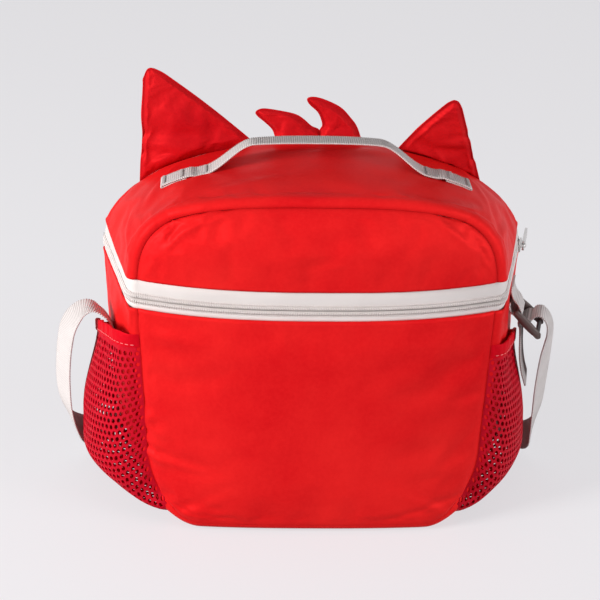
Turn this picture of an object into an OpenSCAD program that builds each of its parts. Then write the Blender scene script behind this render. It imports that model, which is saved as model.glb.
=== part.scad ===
// Insulated soft lunch bag with a zip-round lid, two ears, a tuft, a carry handle and a shoulder strap.
// Z is up, the base rests on Z = 0, the back face looks towards -Y and the eared front face towards +Y.

/* [Bag] */
// Width of the back face between its seams, at the zip
back_w = 228; // [210:1:260]
// Width of the front face between its seams, at the zip
front_w = 271; // [250:1:310]
// Depth from the middle of the back face to the middle of the front face
depth = 134; // [110:1:160]
// Height of the zip line above the base
zip_h = 161; // [145:1:185]
// Height of the lid's crown above the zip line
lid_h = 71; // [60:1:90]
// Width of the rounded lower corners of the faces
corner_w = 40; // [25:1:55]
// Height of the rounded lower corners of the faces
corner_h = 58; // [30:1:70]
// How much narrower each side is at the base than at the zip
base_taper = 6; // [0:1:15]
// How far the padded edge rolls out past the face seams
roll = 6; // [3:0.5:9]
// How far the back face's side seams lie behind its middle
back_crown = 18; // [8:1:26]
// How far the front face's side seams lie behind its middle
front_crown = 10; // [6:1:20]

/* [Layers] */
// Thickness of the outer fabric
shell_t = 1.2; // [0.8:0.1:2]
// Thickness of the foam insulation
foam_t = 4; // [2:0.5:6]
// Thickness of the wipe-clean lining
liner_t = 0.6; // [0.4:0.1:1.2]
// Clearance between two layers, and between two panels at a seam
layer_gap = 0.3; // [0.2:0.1:0.6]

/* [Zip] */
// Visible tape above the zip line
tape_above = 13; // [9:0.5:16]
// Visible tape below the zip line
tape_below = 7; // [5:0.5:12]
// Thickness of the zip tape
tape_t = 0.9; // [0.6:0.1:1.4]
// Width of one row of the coil
coil_w = 2.3; // [1.8:0.1:3]
// Thickness of the coil
coil_t = 2.2; // [1.8:0.1:3]
// Gap between the two rows of the coil, which the slider's wedge runs in
coil_gap = 1.2; // [0.8:0.1:2]
// Length of the slider
slider_l = 12; // [9:0.5:15]
// Length of the slider's pull
pull_l = 26; // [18:1:40]

/* [Side pockets] */
// Height of the pocket's mouth at the face seams
pocket_h = 131; // [100:1:136]
// Height of the pocket's lowest edge
pocket_foot = 7; // [5:1:30]
// How far the mesh stands off the side
pocket_bulge = 26; // [14:1:32]
// How far the mouth dips at its middle
pocket_dip = 20; // [0:1:26]
// Height of the elastic hem
hem_h = 10; // [6:1:16]
// Thickness of the mesh
mesh_t = 1; // [0.6:0.1:1.6]
// Thickness of the hem
hem_t = 2.2; // [1.6:0.1:3]

/* [Webbing] */
// Width of the webbing of the handle and the strap
web_w = 20; // [15:1:25]
// Thickness of the webbing
web_t = 1.5; // [1:0.1:2.2]
// Length of the handle along X
handle_l = 200; // [160:1:220]
// Length of each sewn end of the handle
handle_seat = 28; // [20:1:36]
// Height of the finger gap under the handle
handle_rise = 12; // [9:1:24]
// Distance of the handle's middle line from the middle of the bag, towards the front
handle_y = 7; // [0:1:30]

/* [Buckle] */
// Length of the ladder lock
lock_l = 24; // [20:1:30]
// Thickness of its frame
lock_t = 4; // [3:0.5:6]
// Width of its side rails
lock_rail = 3; // [2.5:0.5:5]
// Width of the bars
lock_bar = 3; // [2.5:0.5:4]

/* [Ears and tuft] */
// Height of the ears above the lid's edge
ear_h = 68; // [45:1:80]
// Thickness of the padded ears
ear_t = 9; // [6:1:14]
// How far the right ear's tip leans towards the back
ear_lean = 24; // [0:1:35]
// Height of the taller lobe of the tuft
tuft_h = 26; // [18:1:40]
// Thickness of the tuft
tuft_t = 8; // [5:1:12]

/* [Hidden] */

red = "#e8222a";
bright_red = "#f5382f";
mesh_red = "#c01a34";
foam_white = "#f2f0ea";
liner_grey = "#c9ccd0";
tape_cream = "#e9dcdb";
coil_cream = "#cfc4c2";
web_cream = "#c9c0bf";
buckle_brown = "#6b5c59";
metal_grey = "#b9b8b6";

// Layers, each from its outer to its inner inset
shell_in = shell_t;
foam_out = shell_in + layer_gap;
foam_in = foam_out + foam_t;
liner_out = foam_in + layer_gap;
liner_in = liner_out + liner_t;

// Edges of the fabric, above and below the zip line
lid_edge = zip_h + tape_above;
body_edge = zip_h - tape_below;
hinge_gap = 0.4;
foam_back = 1.5;

// Shape of the lid's outline, from a squarer back to a rounder front
back_square = 3.4;
front_square = 1.95;
// Share of the gusset's depth that the rolled edge takes
roll_run = 0.1;
// How fast a face falls back towards its seams
face_power = 2.6;
// How far the middle of a face's top and bottom seam lies behind the face's middle
top_setback = 12;
base_setback = 2;

// Facets: outer layers are finer than the hidden ones
fine = [3, 4];
coarse = [2, 2];
fine_body = [6, 8, 4];
coarse_body = [3, 4, 2];
fine_lid = 14;
coarse_lid = 8;
round_n = 48;
small_n = 32;

function lerp(a, b, t) = a + (b - a) * t;
function clamp(t) = max(0, min(1, t));
function ease(t) = clamp(t) * clamp(t) * (3 - 2 * clamp(t));
function unit(p) = p / norm(p);

// ---- the bag's outer form, as sections across its depth ----
// v is 0 at the back seam and 1 at the front seam, d is the inset of a layer

function bump(v) =
    v < roll_run ? sqrt(1 - pow(1 - v / roll_run, 2)) :
    v > 1 - roll_run ? sqrt(1 - pow(1 - (1 - v) / roll_run, 2)) : 1;
function half_w(v, d) = lerp(back_w, front_w, v) / 2 + roll * bump(v) - d;
function foot(v, d) = roll * (1 - bump(v)) + d;
function crown_h(v, d) = lid_h - roll * (1 - bump(v)) - d;
function corner_rx(v, d) = corner_w - roll * (1 - bump(v)) - d;
function corner_rz(v, d) = corner_h - roll * (1 - bump(v)) - d;
function square(v) = lerp(back_square, front_square, v);

// Half width of the body's side at height z
function body_x(z, v, d) =
    let (low = foot(v, d) + corner_rz(v, d))
    let (w = half_w(v, d) - base_taper)
    z < low ? w - corner_rx(v, d) * (1 - sqrt(max(0, 1 - pow((low - z) / corner_rz(v, d), 2)))) :
    w + base_taper * (z - low) / (zip_h - low);

// Half width of the lid's side at height z, and the lid's height at a half width x
function lid_x(z, v, d) =
    half_w(v, d) * pow(1 - pow((z - zip_h) / crown_h(v, d), square(v)), 1 / square(v));
function lid_z(x, v, d) =
    zip_h + crown_h(v, d) * pow(1 - pow(abs(x) / half_w(v, d), square(v)), 1 / square(v));
function side_x(z, v, d) = z > zip_h ? lid_x(z, v, d) : body_x(z, v, d);

// Half outline of the body, from its top edge down to the middle of the base
function body_half(v, d, edge, n) =
    let (rx = corner_rx(v, d))
    let (rz = corner_rz(v, d))
    let (low = foot(v, d))
    let (flat = half_w(v, d) - base_taper - rx)
    concat(
        [for (i = [0 : n[0] - 1]) let (z = lerp(edge, low + rz, i / n[0])) [body_x(z, v, d), z]],
        [for (i = [0 : n[1]]) let (a = 90 * i / n[1])
            [flat + rx * cos(a), low + rz * (1 - sin(a))]],
        [for (i = [1 : n[2]]) [flat * (1 - i / n[2]), low]]
    );

// Half outline of the lid, from its lower edge up to the middle of the crown
function lid_half(v, d, edge, n) =
    let (h = crown_h(v, d))
    let (q = square(v))
    let (start = asin(pow((edge - zip_h) / h, q / 2)))
    [for (i = [0 : n]) let (a = lerp(start, 90, i / n))
        [half_w(v, d) * pow(cos(a), 2 / q), zip_h + h * pow(sin(a), 2 / q)]];

function mirror_on(half) =
    let (m = len(half) - 1)
    concat(half, [for (i = [1 : m]) [-half[m - i].x, half[m - i].y]]);

// Setback of a face at a (-1 to 1 across) and b (0 at the zip, 1 at the far edge)
function setback(a, b, side, middle) =
    let (s = pow(abs(a), face_power))
    side * s + middle * pow(b, 3) * (1 - s);

// Stations across the gusset, close together on the rolled edges
function stations(n) = concat(
    [for (i = [0 : n[0]]) roll_run * (1 - cos(90 * i / n[0]))],
    [for (i = [1 : n[1] - 1]) lerp(roll_run, 1 - roll_run, i / n[1])],
    [for (i = [0 : n[0]]) 1 - roll_run * (1 - cos(90 * (n[0] - i) / n[0]))]
);

// Depth of the gusset at station v, where a and b place the point on the seams
function gusset_y(v, a, b, middle, d) = lerp(
    d - depth / 2 + setback(a, b, back_crown, middle),
    depth / 2 - d - setback(a, b, front_crown, middle), v);

// One row of gusset points for each point of the outline
function gusset_grid(is_lid, d, edge, n, nv, corner) =
    let (sections = [for (v = stations(nv))
        mirror_on(is_lid ? lid_half(v, d, edge, n) : body_half(v, d, edge, n))])
    let (m = (len(sections[0]) - 1) / 2)
    [for (k = [0 : 2 * m]) [for (i = [0 : len(sections) - 1])
        let (v = stations(nv)[i])
        let (a = min(1, abs(k - m) / (m - corner)))
        [sections[i][k].x,
            gusset_y(v, a, 1, is_lid ? top_setback : base_setback, d),
            sections[i][k].y]]];

// A face filled in between its sides and its top or bottom edge
function face_grid(is_lid, front, d, gap, edge, n, corner) =
    let (v = front ? 1 : 0)
    let (loop = mirror_on(is_lid ? lid_half(v, d + gap, edge, n) : body_half(v, d + gap, edge, n)))
    let (end = len(loop) - 1)
    let (cols = end - 2 * corner)
    [for (k = [0 : corner]) [for (i = [0 : cols])
        let (a = i / cols)
        let (b = k / corner)
        let (p = lerp(lerp(loop[0], loop[end], a), loop[corner + i], b)
            + lerp(loop[k], loop[end - k], a)
            - lerp(lerp(loop[0], loop[end], a), lerp(loop[corner], loop[end - corner], a), b))
        let (y = depth / 2 - d - setback(2 * a - 1, b, front ? front_crown : back_crown,
            is_lid ? top_setback : base_setback))
        [p.x, front ? y : -y, p.y]]];

// A closed sheet between two grids of points of equal size
module thick_sheet(outer, inner) {
    rows = len(outer);
    cols = len(outer[0]);
    size = rows * cols;
    function at(r, c) = r * cols + c;
    quads = concat(
        [for (r = [0 : rows - 2], c = [0 : cols - 2])
            [at(r, c), at(r, c + 1), at(r + 1, c + 1), at(r + 1, c)]],
        [for (r = [0 : rows - 2], c = [0 : cols - 2])
            [size + at(r, c), size + at(r + 1, c), size + at(r + 1, c + 1), size + at(r, c + 1)]],
        [for (c = [0 : cols - 2]) [at(0, c + 1), at(0, c), size + at(0, c), size + at(0, c + 1)]],
        [for (c = [0 : cols - 2])
            [at(rows - 1, c), at(rows - 1, c + 1), size + at(rows - 1, c + 1), size + at(rows - 1, c)]],
        [for (r = [0 : rows - 2]) [at(r, 0), at(r + 1, 0), size + at(r + 1, 0), size + at(r, 0)]],
        [for (r = [0 : rows - 2])
            [at(r + 1, cols - 1), at(r, cols - 1), size + at(r, cols - 1), size + at(r + 1, cols - 1)]]
    );
    polyhedron(
        points = concat([for (row = outer) each row], [for (row = inner) each row]),
        faces = [for (q = quads) each [[q[0], q[1], q[2]], [q[0], q[2], q[3]]]]
    );
}

// A closed bar through a list of equal rings of points
module swept(rings) {
    n = len(rings[0]);
    last = len(rings) - 1;
    sides = [for (r = [0 : last - 1], i = [0 : n - 1])
        let (j = (i + 1) % n)
        [r * n + j, r * n + i, (r + 1) * n + i, (r + 1) * n + j]];
    polyhedron(
        points = [for (ring = rings) each ring],
        faces = concat(
            [for (q = sides) each [[q[0], q[1], q[2]], [q[0], q[2], q[3]]]],
            [for (i = [1 : n - 2]) [0, i, i + 1]],
            [for (i = [1 : n - 2]) [last * n, last * n + i + 1, last * n + i]]
        )
    );
}

module gusset(is_lid, out, in, edge, n, nv, corner) {
    a = gusset_grid(is_lid, out, edge, n, nv, corner);
    b = gusset_grid(is_lid, in, edge, n, nv, corner);
    if (is_lid) thick_sheet(b, a);
    else thick_sheet(a, b);
}

module face(is_lid, front, out, in, edge, n, corner) {
    gap = front ? 2 * layer_gap : layer_gap;
    a = face_grid(is_lid, front, out, gap, edge, n, corner);
    b = face_grid(is_lid, front, in, gap, edge, n, corner);
    if (front == is_lid) thick_sheet(b, a);
    else thick_sheet(a, b);
}

fine_corner = fine_body[0] + fine_body[1] / 2;
coarse_corner = coarse_body[0] + coarse_body[1] / 2;

module body_gusset() {
    color(red) gusset(false, 0, shell_in, body_edge, fine_body, fine, fine_corner);
}
module body_gusset_foam() {
    color(foam_white)
        gusset(false, foam_out, foam_in, body_edge - foam_back, coarse_body, coarse, coarse_corner);
}
module body_gusset_liner() {
    color(liner_grey)
        gusset(false, liner_out, liner_in, body_edge - foam_back, coarse_body, coarse, coarse_corner);
}
module body_back_panel() {
    color(bright_red) face(false, false, 0, shell_in, body_edge, fine_body, fine_corner);
}
module body_back_foam() {
    color(foam_white)
        face(false, false, foam_out, foam_in, body_edge - foam_back, coarse_body, coarse_corner);
}
module body_back_liner() {
    color(liner_grey)
        face(false, false, liner_out, liner_in, body_edge - foam_back, coarse_body, coarse_corner);
}
module body_front_panel() {
    color(red) face(false, true, 0, shell_in, zip_h - hinge_gap, fine_body, fine_corner);
}
module body_front_foam() {
    color(foam_white)
        face(false, true, foam_out, foam_in, zip_h - foam_back, coarse_body, coarse_corner);
}
module body_front_liner() {
    color(liner_grey)
        face(false, true, liner_out, liner_in, zip_h - foam_back, coarse_body, coarse_corner);
}

module lid_gusset() {
    color(red) gusset(true, 0, shell_in, lid_edge, fine_lid, fine, fine_lid / 2);
}
module lid_gusset_foam() {
    color(foam_white)
        gusset(true, foam_out, foam_in, lid_edge + foam_back, coarse_lid, coarse, coarse_lid / 2);
}
module lid_gusset_liner() {
    color(liner_grey)
        gusset(true, liner_out, liner_in, lid_edge + foam_back, coarse_lid, coarse, coarse_lid / 2);
}
module lid_back_panel() {
    color(bright_red) face(true, false, 0, shell_in, lid_edge, fine_lid, fine_lid / 2);
}
module lid_back_foam() {
    color(foam_white)
        face(true, false, foam_out, foam_in, lid_edge + foam_back, coarse_lid, coarse_lid / 2);
}
module lid_back_liner() {
    color(liner_grey)
        face(true, false, liner_out, liner_in, lid_edge + foam_back, coarse_lid, coarse_lid / 2);
}
module lid_front_panel() {
    color(red) face(true, true, 0, shell_in, zip_h + hinge_gap, fine_lid, fine_lid / 2);
}
module lid_front_foam() {
    color(foam_white)
        face(true, true, foam_out, foam_in, zip_h + foam_back, coarse_lid, coarse_lid / 2);
}
module lid_front_liner() {
    color(liner_grey)
        face(true, true, liner_out, liner_in, zip_h + foam_back, coarse_lid, coarse_lid / 2);
}

// ---- zip ----
// The zip runs from the right end of the gusset, across the back face, to the left end.
// Its bands are profiles of [inset, height] points carried along that line.

tape_end = 0.985;
chain_end = 0.93;
zip_cols = 14;
tape_rim = 0.3;
// The least step between two stations along the line
near_v = 0.02;

function zip_stations(end) = [for (v = stations(fine)) if (v < end - near_v) v];

// The line at height z and inset d, from the front right round to the front left
function zip_line(z, d, end) =
    let (vs = concat(zip_stations(end), [end]))
    let (n = len(vs) - 1)
    let (side = [for (i = [0 : n]) let (v = vs[n - i]) [side_x(z, v, d), gusset_y(v, 1, 0, 0, d), z]])
    let (x0 = side_x(z, 0, d))
    concat(
        side,
        [for (i = [1 : zip_cols - 1]) let (a = 1 - 2 * i / zip_cols)
            [x0 * a, d - depth / 2 + setback(a, 0, back_crown, 0), z]],
        [for (i = [0 : n]) let (p = side[n - i]) [-p.x, p.y, p.z]]
    );

module zip_band(profile, end) {
    lines = [for (p = profile) zip_line(p.y, p.x, end)];
    swept([for (k = [0 : len(lines[0]) - 1]) [for (line = lines) line[k]]]);
}

// Profile of one row of the coil, proud of the tape on the outside
function coil_profile(up) =
    let (z0 = zip_h + up * coil_gap / 2)
    let (z1 = z0 + up * coil_w)
    let (mid = tape_rim + tape_t / 2)
    let (c = coil_w / 4)
    let (out = mid - coil_t / 2)
    let (in = mid + coil_t / 2)
    let (ring = [[out, z0 + up * c], [out, z1 - up * c], [out + c, z1], [in - c, z1],
        [in, z1 - up * c], [in, z0 + up * c], [in - c, z0], [out + c, z0]])
    up > 0 ? ring : [for (i = [len(ring) - 1 : -1 : 0]) ring[i]];

// Profile of one tape, from the coil to the fabric's edge
function tape_profile(up, width) =
    let (z0 = zip_h + up * (coil_gap / 2 + coil_w + tape_rim / 2))
    let (z1 = zip_h + up * (width - layer_gap))
    let (ring = [[tape_rim, z0], [tape_rim, z1], [tape_rim + tape_t, z1], [tape_rim + tape_t, z0]])
    up > 0 ? ring : [for (i = [len(ring) - 1 : -1 : 0]) ring[i]];

module zip_tape_lower() {
    color(tape_cream) zip_band(tape_profile(-1, tape_below), tape_end);
}
module zip_tape_upper() {
    color(tape_cream) zip_band(tape_profile(1, tape_above), tape_end);
}
module zip_coil_lower() {
    color(coil_cream) zip_band(coil_profile(-1), chain_end);
}
module zip_coil_upper() {
    color(coil_cream) zip_band(coil_profile(1), chain_end);
}

// Direction of the side line, which the slider follows
side_angle = atan((front_w - back_w) / 2 / (depth - back_crown - front_crown));
slider_v = 0.885;
slider_w = 9;
slider_plate = 1.1;
slider_play = 0.7;
slider_room = coil_t + slider_play;
wing_cut = 1.6;
wedge_play = 0.3;
wedge_w = coil_gap - wedge_play;
wedge_l = 4;
wedge_back = 0.8;
// Lip along the slider's lower edge: how deep it hangs, how wide it is and where it starts
lip_drop = 0.6;
lip_w = 0.8;
lip_in = 0.9;
lip_back = 2;
// How far joined solids run into each other
sink = 0.2;
pin_r = 0.7;
pin_room = 0.35;
bridge_wall = 1;
bridge_r = pin_r + pin_room + bridge_wall;
// The pin stands this far out from the wing, so that the pull clears it
pull_clear = 0.7;
bridge_foot = pin_r + pin_room + pull_clear;
pin_out = slider_room / 2 + slider_plate + bridge_foot - sink;

// Puts its child on the side line: X out of the bag, Y along the line towards the front
module on_side(v, side) {
    p = [half_w(v, tape_rim + tape_t / 2), gusset_y(v, 1, 0, 0, 0), zip_h];
    mirror([side < 0 ? 1 : 0, 0, 0]) translate(p) rotate([0, 0, -side_angle]) children();
}

// A wing of the slider: wide and round in front, narrower behind
module slider_wing() {
    rotate([0, 90, 0]) linear_extrude(slider_plate) {
        intersection() {
            square([slider_w, slider_l], center = true);
            union() {
                translate([0, slider_l / 2 - slider_w / 2]) circle(d = slider_w, $fn = round_n);
                polygon([
                    [-slider_w / 2, slider_l / 2 - slider_w / 2],
                    [slider_w / 2, slider_l / 2 - slider_w / 2],
                    [slider_w / 2 - wing_cut, -slider_l / 2],
                    [wing_cut - slider_w / 2, -slider_l / 2]
                ]);
            }
        }
    }
}

module zip_slider() {
    color(metal_grey) on_side(slider_v, 1) {
        translate([slider_room / 2, 0, 0]) slider_wing();
        translate([-slider_room / 2 - slider_plate, 0, 0]) slider_wing();
        // wedge that joins the wings and parts the rows
        translate([-slider_room / 2 - sink, slider_l / 2 - wedge_l - wedge_back, -wedge_w / 2])
            cube([slider_room + 2 * sink, wedge_l, wedge_w]);
        // lip along the lower edge, outside the tape
        translate([slider_room / 2 - lip_drop, lip_back - slider_l / 2, lip_in - slider_w / 2])
            cube([lip_drop + sink, slider_l - 3 * lip_back, lip_w]);
        // bridge that holds the pull's pin
        translate([pin_out, 0, -bridge_w / 2]) linear_extrude(bridge_w) difference() {
            bridge_outline();
            circle(r = pin_r + pin_room, $fn = small_n);
        }
    }
}

// Outline of the bridge round its pin: a half round on a foot that stands on the wing
module bridge_outline() {
    circle(r = bridge_r, $fn = round_n);
    translate([-bridge_foot, -bridge_r]) square([bridge_foot, 2 * bridge_r]);
}

pull_w = 7;
pull_t = 1.6;

pull_arm = 7;
pull_hole = 3;
bridge_w = 2;
bridge_room = 0.4;

module zip_pull() {
    arm_w = pull_w / 2 - bridge_w / 2 - bridge_room;
    color(metal_grey) on_side(slider_v, 1) translate([pin_out, 0, 0]) {
        // pin up through the bridge
        translate([0, 0, -pull_w / 2]) cylinder(h = pull_w, r = pin_r, $fn = small_n);
        // an arm on each side of the bridge, which carry the tab
        for (z = [-pull_w / 2, pull_w / 2 - arm_w]) translate([-pull_t / 2, -pin_r, z])
            cube([pull_t, pull_arm + 2 * pin_r, arm_w]);
        translate([-pull_t / 2, pull_arm, 0]) rotate([0, 90, 0]) linear_extrude(pull_t) difference() {
            union() {
                translate([-pull_w / 2, 0]) square([pull_w, pull_l - pull_arm - pull_w / 2]);
                translate([0, pull_l - pull_arm - pull_w / 2]) circle(d = pull_w, $fn = round_n);
            }
            translate([0, pull_l - pull_arm - pull_w / 2]) circle(d = pull_hole, $fn = small_n);
        }
    }
}

// A stop clamped on the tape just past each end of a row of the coil
stop_l = 2.4;
module stops(up) {
    for (side = [-1, 1]) on_side(chain_end + near_v, side)
        translate([-coil_t / 2, 0, up > 0 ? coil_gap / 2 : -coil_gap / 2 - coil_w])
            cube([coil_t, stop_l, coil_w]);
}
module zip_stops_lower() {
    color(metal_grey) stops(-1);
}
module zip_stops_upper() {
    color(metal_grey) stops(1);
}

// ---- side pockets ----
pocket_cols = 12;
pocket_rows = 8;
pocket_edge = 0.012;

// How full the pocket is: closed at the seams and the foot, fullest low down
pocket_swell = 0.45;
pocket_turn = 0.24;
mouth_share = 0.72;
mouth_from = 0.4;
foot_lift = 0.012;
function pocket_fill(v, h) =
    let (foot_part = clamp((h + foot_lift) / pocket_turn))
    pow(max(0, sin(180 * v)), pocket_swell) * sqrt(1 - pow(1 - foot_part, 2))
        * lerp(1, mouth_share, ease((h - mouth_from) / (1 - mouth_from)));
// The mesh stands off the side, and spans its rounded lower corner
function pocket_off(v, h, z) =
    let (low = foot(v, 0) + corner_rz(v, 0))
    let (hollow = z < low ? body_x(low, v, 0) - body_x(z, v, 0) : 0)
    2 * layer_gap + pocket_fill(v, h) * (pocket_bulge + hollow);
function pocket_z(v, h) = lerp(pocket_foot, pocket_h - pocket_dip * sin(180 * v), h);
function pocket_pt(side, v, h, out) =
    let (z = pocket_z(v, h))
    [side * (body_x(z, v, 0) + pocket_off(v, h, z) + out), gusset_y(v, 1, 0, 0, 0), z];

module pocket_sheet(side, h0, h1, rows, t, out) {
    vs = [for (i = [0 : pocket_cols]) lerp(pocket_edge, 1 - pocket_edge, i / pocket_cols)];
    a = [for (k = [0 : rows]) [for (v = vs) pocket_pt(side, v, lerp(h0, h1, k / rows), out + t)]];
    b = [for (k = [0 : rows]) [for (v = vs) pocket_pt(side, v, lerp(h0, h1, k / rows), out)]];
    if (side > 0) thick_sheet(b, a);
    else thick_sheet(a, b);
}

hem_share = 1 - hem_h / (pocket_h - pocket_foot);
hem_clear = 0.003;

module left_pocket_mesh() {
    color(mesh_red) pocket_sheet(-1, 0, hem_share - hem_clear, pocket_rows, mesh_t, 0);
}
module right_pocket_mesh() {
    color(mesh_red) pocket_sheet(1, 0, hem_share - hem_clear, pocket_rows, mesh_t, 0);
}
module left_pocket_hem() {
    color(red) pocket_sheet(-1, hem_share, 1, 2, hem_t, 0);
}
module right_pocket_hem() {
    color(red) pocket_sheet(1, hem_share, 1, 2, hem_t, 0);
}

// ---- carry handle ----
handle_ramp = 32;
handle_steps = 36;
handle_clear = 0.5;
// Share of the sewn length where the webbing lies double
fold_share = 0.6;

function handle_v(y) = (y + depth / 2 - top_setback) / (depth - 2 * top_setback);
function handle_pt(x, y, up) =
    [x, y, lid_z(x, handle_v(y), 0) + handle_clear + up
        + handle_rise * ease((handle_l / 2 - handle_seat - abs(x)) / handle_ramp)];

// The tab folds back under its sewn ends, so it is two layers thick there
module carry_handle() {
    color(web_cream) {
        swept([for (i = [0 : handle_steps])
            let (x = lerp(-handle_l / 2, handle_l / 2, i / handle_steps))
            let (thick = abs(x) > handle_l / 2 - handle_seat * fold_share ? 2 * web_t : web_t)
            let (near = handle_y - web_w / 2)
            let (far = handle_y + web_w / 2)
            [handle_pt(x, near, 0), handle_pt(x, far, 0),
                handle_pt(x, far, thick), handle_pt(x, near, thick)]]);
    }
}

// ---- ears and tuft ----
ear_v = 0.96;
ear_seat_v = 0.91;
ear_rows = 8;
ear_cols = 8;
ear_top = 0.95;
ear_margin = 0.02;
ear_swell = 4;
// Where on the lid each ear is sewn, from its outer end to its inner end
left_sewn = [-116, -37];
right_sewn = [112, 54];
ear_tip_x = 109;
ear_y = depth / 2 - front_crown - 2;
shoulder_share = 0.72;
ear_shoulder = zip_h + lid_h * shoulder_share;
right_drop = 12;
right_shift = 18;
left_tip = [-ear_tip_x, ear_y, ear_shoulder + ear_h];
right_tip = [ear_tip_x - right_shift, ear_y - ear_lean, ear_shoulder + ear_h - right_drop];

// Point on the lid's front edge above x
function brim(x) =
    [x, gusset_y(ear_v, abs(x) / half_w(ear_v, 0), 1, top_setback, 0),
        lid_z(x, ear_seat_v, 0) + 2 * layer_gap];

// Half thickness of a pad at a (0 to 1 across) and b (0 at the base, 1 at the tip)
pad_seam = 0.4;
pad_power = 2.4;
skin_share = 0.75;
function belly(a, b, thick) =
    pad_seam + thick / 2 * sqrt(max(0, 1 - pow(abs(2 * a - 1), pad_power))) * sqrt(1 - b * b);

function ear_pt(sewn, tip, a, b) = lerp(brim(lerp(sewn[0], sewn[1], a)), tip, b)
    + ear_swell * a * sin(180 * b) * unit([sign(sewn[1] - sewn[0]) * ear_h, 0, abs(sewn[1] - sewn[0])]);
function ear_grid(sewn, tip, face, thick, inset) =
    [for (k = [0 : ear_rows]) [for (i = [0 : ear_cols])
        let (a = lerp(ear_margin + inset, 1 - ear_margin - inset, i / ear_cols))
        let (b = lerp(inset, ear_top - inset, k / ear_rows))
        ear_pt(sewn, tip, a, b) + [0, face * belly(a, b, thick), 0]]];

// Two skins sewn together at their edges, round a filling
module ear_skins(side, sewn, tip) {
    for (face = [-1, 1]) {
        out = ear_grid(sewn, tip, face, ear_t, 0);
        in = [for (row = out) [for (p = row) p - [0, face * min(shell_t, pad_seam * skin_share), 0]]];
        if (side * face > 0) thick_sheet(in, out);
        else thick_sheet(out, in);
    }
}

fill_inset = 0.06;
fill_less = 1.6;

module ear_filling(side, sewn, tip) {
    a = ear_grid(sewn, tip, -1, ear_t - fill_less, fill_inset);
    b = ear_grid(sewn, tip, 1, ear_t - fill_less, fill_inset);
    shrink = pad_seam;
    in = [for (row = a) [for (p = row) p + [0, shrink, 0]]];
    out = [for (row = b) [for (p = row) p - [0, shrink, 0]]];
    if (side > 0) thick_sheet(in, out);
    else thick_sheet(out, in);
}

module left_ear() {
    color(red) ear_skins(-1, left_sewn, left_tip);
}
module right_ear() {
    color(red) ear_skins(1, right_sewn, right_tip);
}
module left_ear_filling() {
    color(foam_white) ear_filling(-1, left_sewn, left_tip);
}
module right_ear_filling() {
    color(foam_white) ear_filling(1, right_sewn, right_tip);
}

// Each lobe of the tuft lies between two curves from the brim to a tip that curls to the left:
// [outer foot x, inner foot x, outer bend, inner bend, tip], with bends and tip as [x, height]
tuft_lobes = [
    [-25, 6, [-22, 0.45], [2, 0.86], [-35, 0.66]],
    [5, 35, [20, 0.30], [34, 1.10], [-3, 1]]
];
tuft_rows = 7;
tuft_cols = 4;
tuft_top = 0.96;

function bend(p, q, r, t) = lerp(lerp(p, q, t), lerp(q, r, t), t);
function tuft_at(p) = [p.x, ear_y - 1, zip_h + lid_h + p.y * tuft_h];
function lobe_pt(lobe, a, b) =
    let (left = bend(brim(lobe[0]), tuft_at(lobe[2]), tuft_at(lobe[4]), b))
    let (right = bend(brim(lobe[1]), tuft_at(lobe[3]), tuft_at(lobe[4]), b))
    lerp(left, right, a);
function lobe_grid(lobe, face, thick, inset) =
    [for (k = [0 : tuft_rows]) [for (i = [0 : tuft_cols])
        let (a = lerp(ear_margin + inset, 1 - ear_margin - inset, i / tuft_cols))
        let (b = lerp(inset, tuft_top - inset, k / tuft_rows))
        lobe_pt(lobe, a, b) + [0, face * belly(a, b, thick), 0]]];

module hair_tuft() {
    color(red) for (lobe = tuft_lobes, face = [-1, 1]) {
        out = lobe_grid(lobe, face, tuft_t, 0);
        in = [for (row = out) [for (p = row) p - [0, face * pad_seam * skin_share, 0]]];
        if (face < 0) thick_sheet(in, out);
        else thick_sheet(out, in);
    }
}
module hair_tuft_filling() {
    color(foam_white) for (lobe = tuft_lobes) {
        a = lobe_grid(lobe, -1, tuft_t - fill_less, fill_inset);
        b = lobe_grid(lobe, 1, tuft_t - fill_less, fill_inset);
        thick_sheet(
            [for (row = b) [for (p = row) p - [0, pad_seam, 0]]],
            [for (row = a) [for (p = row) p + [0, pad_seam, 0]]]);
    }
}

// ---- shoulder strap and its buckle ----
strap_y = 5;
anchor_z = 133;
anchor_v = (strap_y + depth / 2 - back_crown) / (depth - back_crown - front_crown);
anchor_x = body_x(anchor_z, anchor_v, 0) + layer_gap;
lock_tilt = 44;
lock_play = 1;
lock_w = web_w + 2 * lock_rail + lock_play;
webbing_clear = 0.3;
loop_reach = 7;
// Heights of the loop's upper and lower sewn ends above its bar, and the length sewn down
loop_top = 19;
loop_low = 7;
loop_sewn = 4;
// How far the side moves outwards for each millimetre up
side_lean = base_taper / (zip_h - foot(anchor_v, 0) - corner_rz(anchor_v, 0));

// Puts its child on the right side at the anchor: X out of the bag, Y along the side
module at_anchor() {
    translate([anchor_x, strap_y, anchor_z]) rotate([0, 0, -side_angle]) children();
}
// Puts its child at the buckle's fixed bar: X along the buckle, Y along its bars, Z out of its face
module at_buckle() {
    at_anchor() translate([loop_reach, 0, 0]) rotate([0, lock_tilt, 0]) children();
}

// The frame: two rails and three bars, with a slot on each side of the middle bar.
// A bar's place is [along the buckle, out of its face].
lock_edge = 2.4;
bar_sink = 1;
fixed_bar = [0, 0];
middle_bar = [lock_l / 2 - lock_edge, 0.4];
outer_bar = [lock_l - 2 * lock_edge, -0.4];
module strap_buckle() {
    color(buckle_brown) at_buckle() {
        for (y = [-lock_w / 2, lock_w / 2 - lock_rail]) translate([-lock_edge, y, -lock_t / 2]) lock_side();
        for (bar = [fixed_bar, middle_bar, outer_bar])
            translate([bar.x, 0, bar.y]) rotate([90, 0, 0]) translate([0, 0, bar_sink - lock_w / 2])
                cylinder(h = lock_w - 2 * bar_sink, d = lock_bar, $fn = small_n);
    }
}

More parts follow.
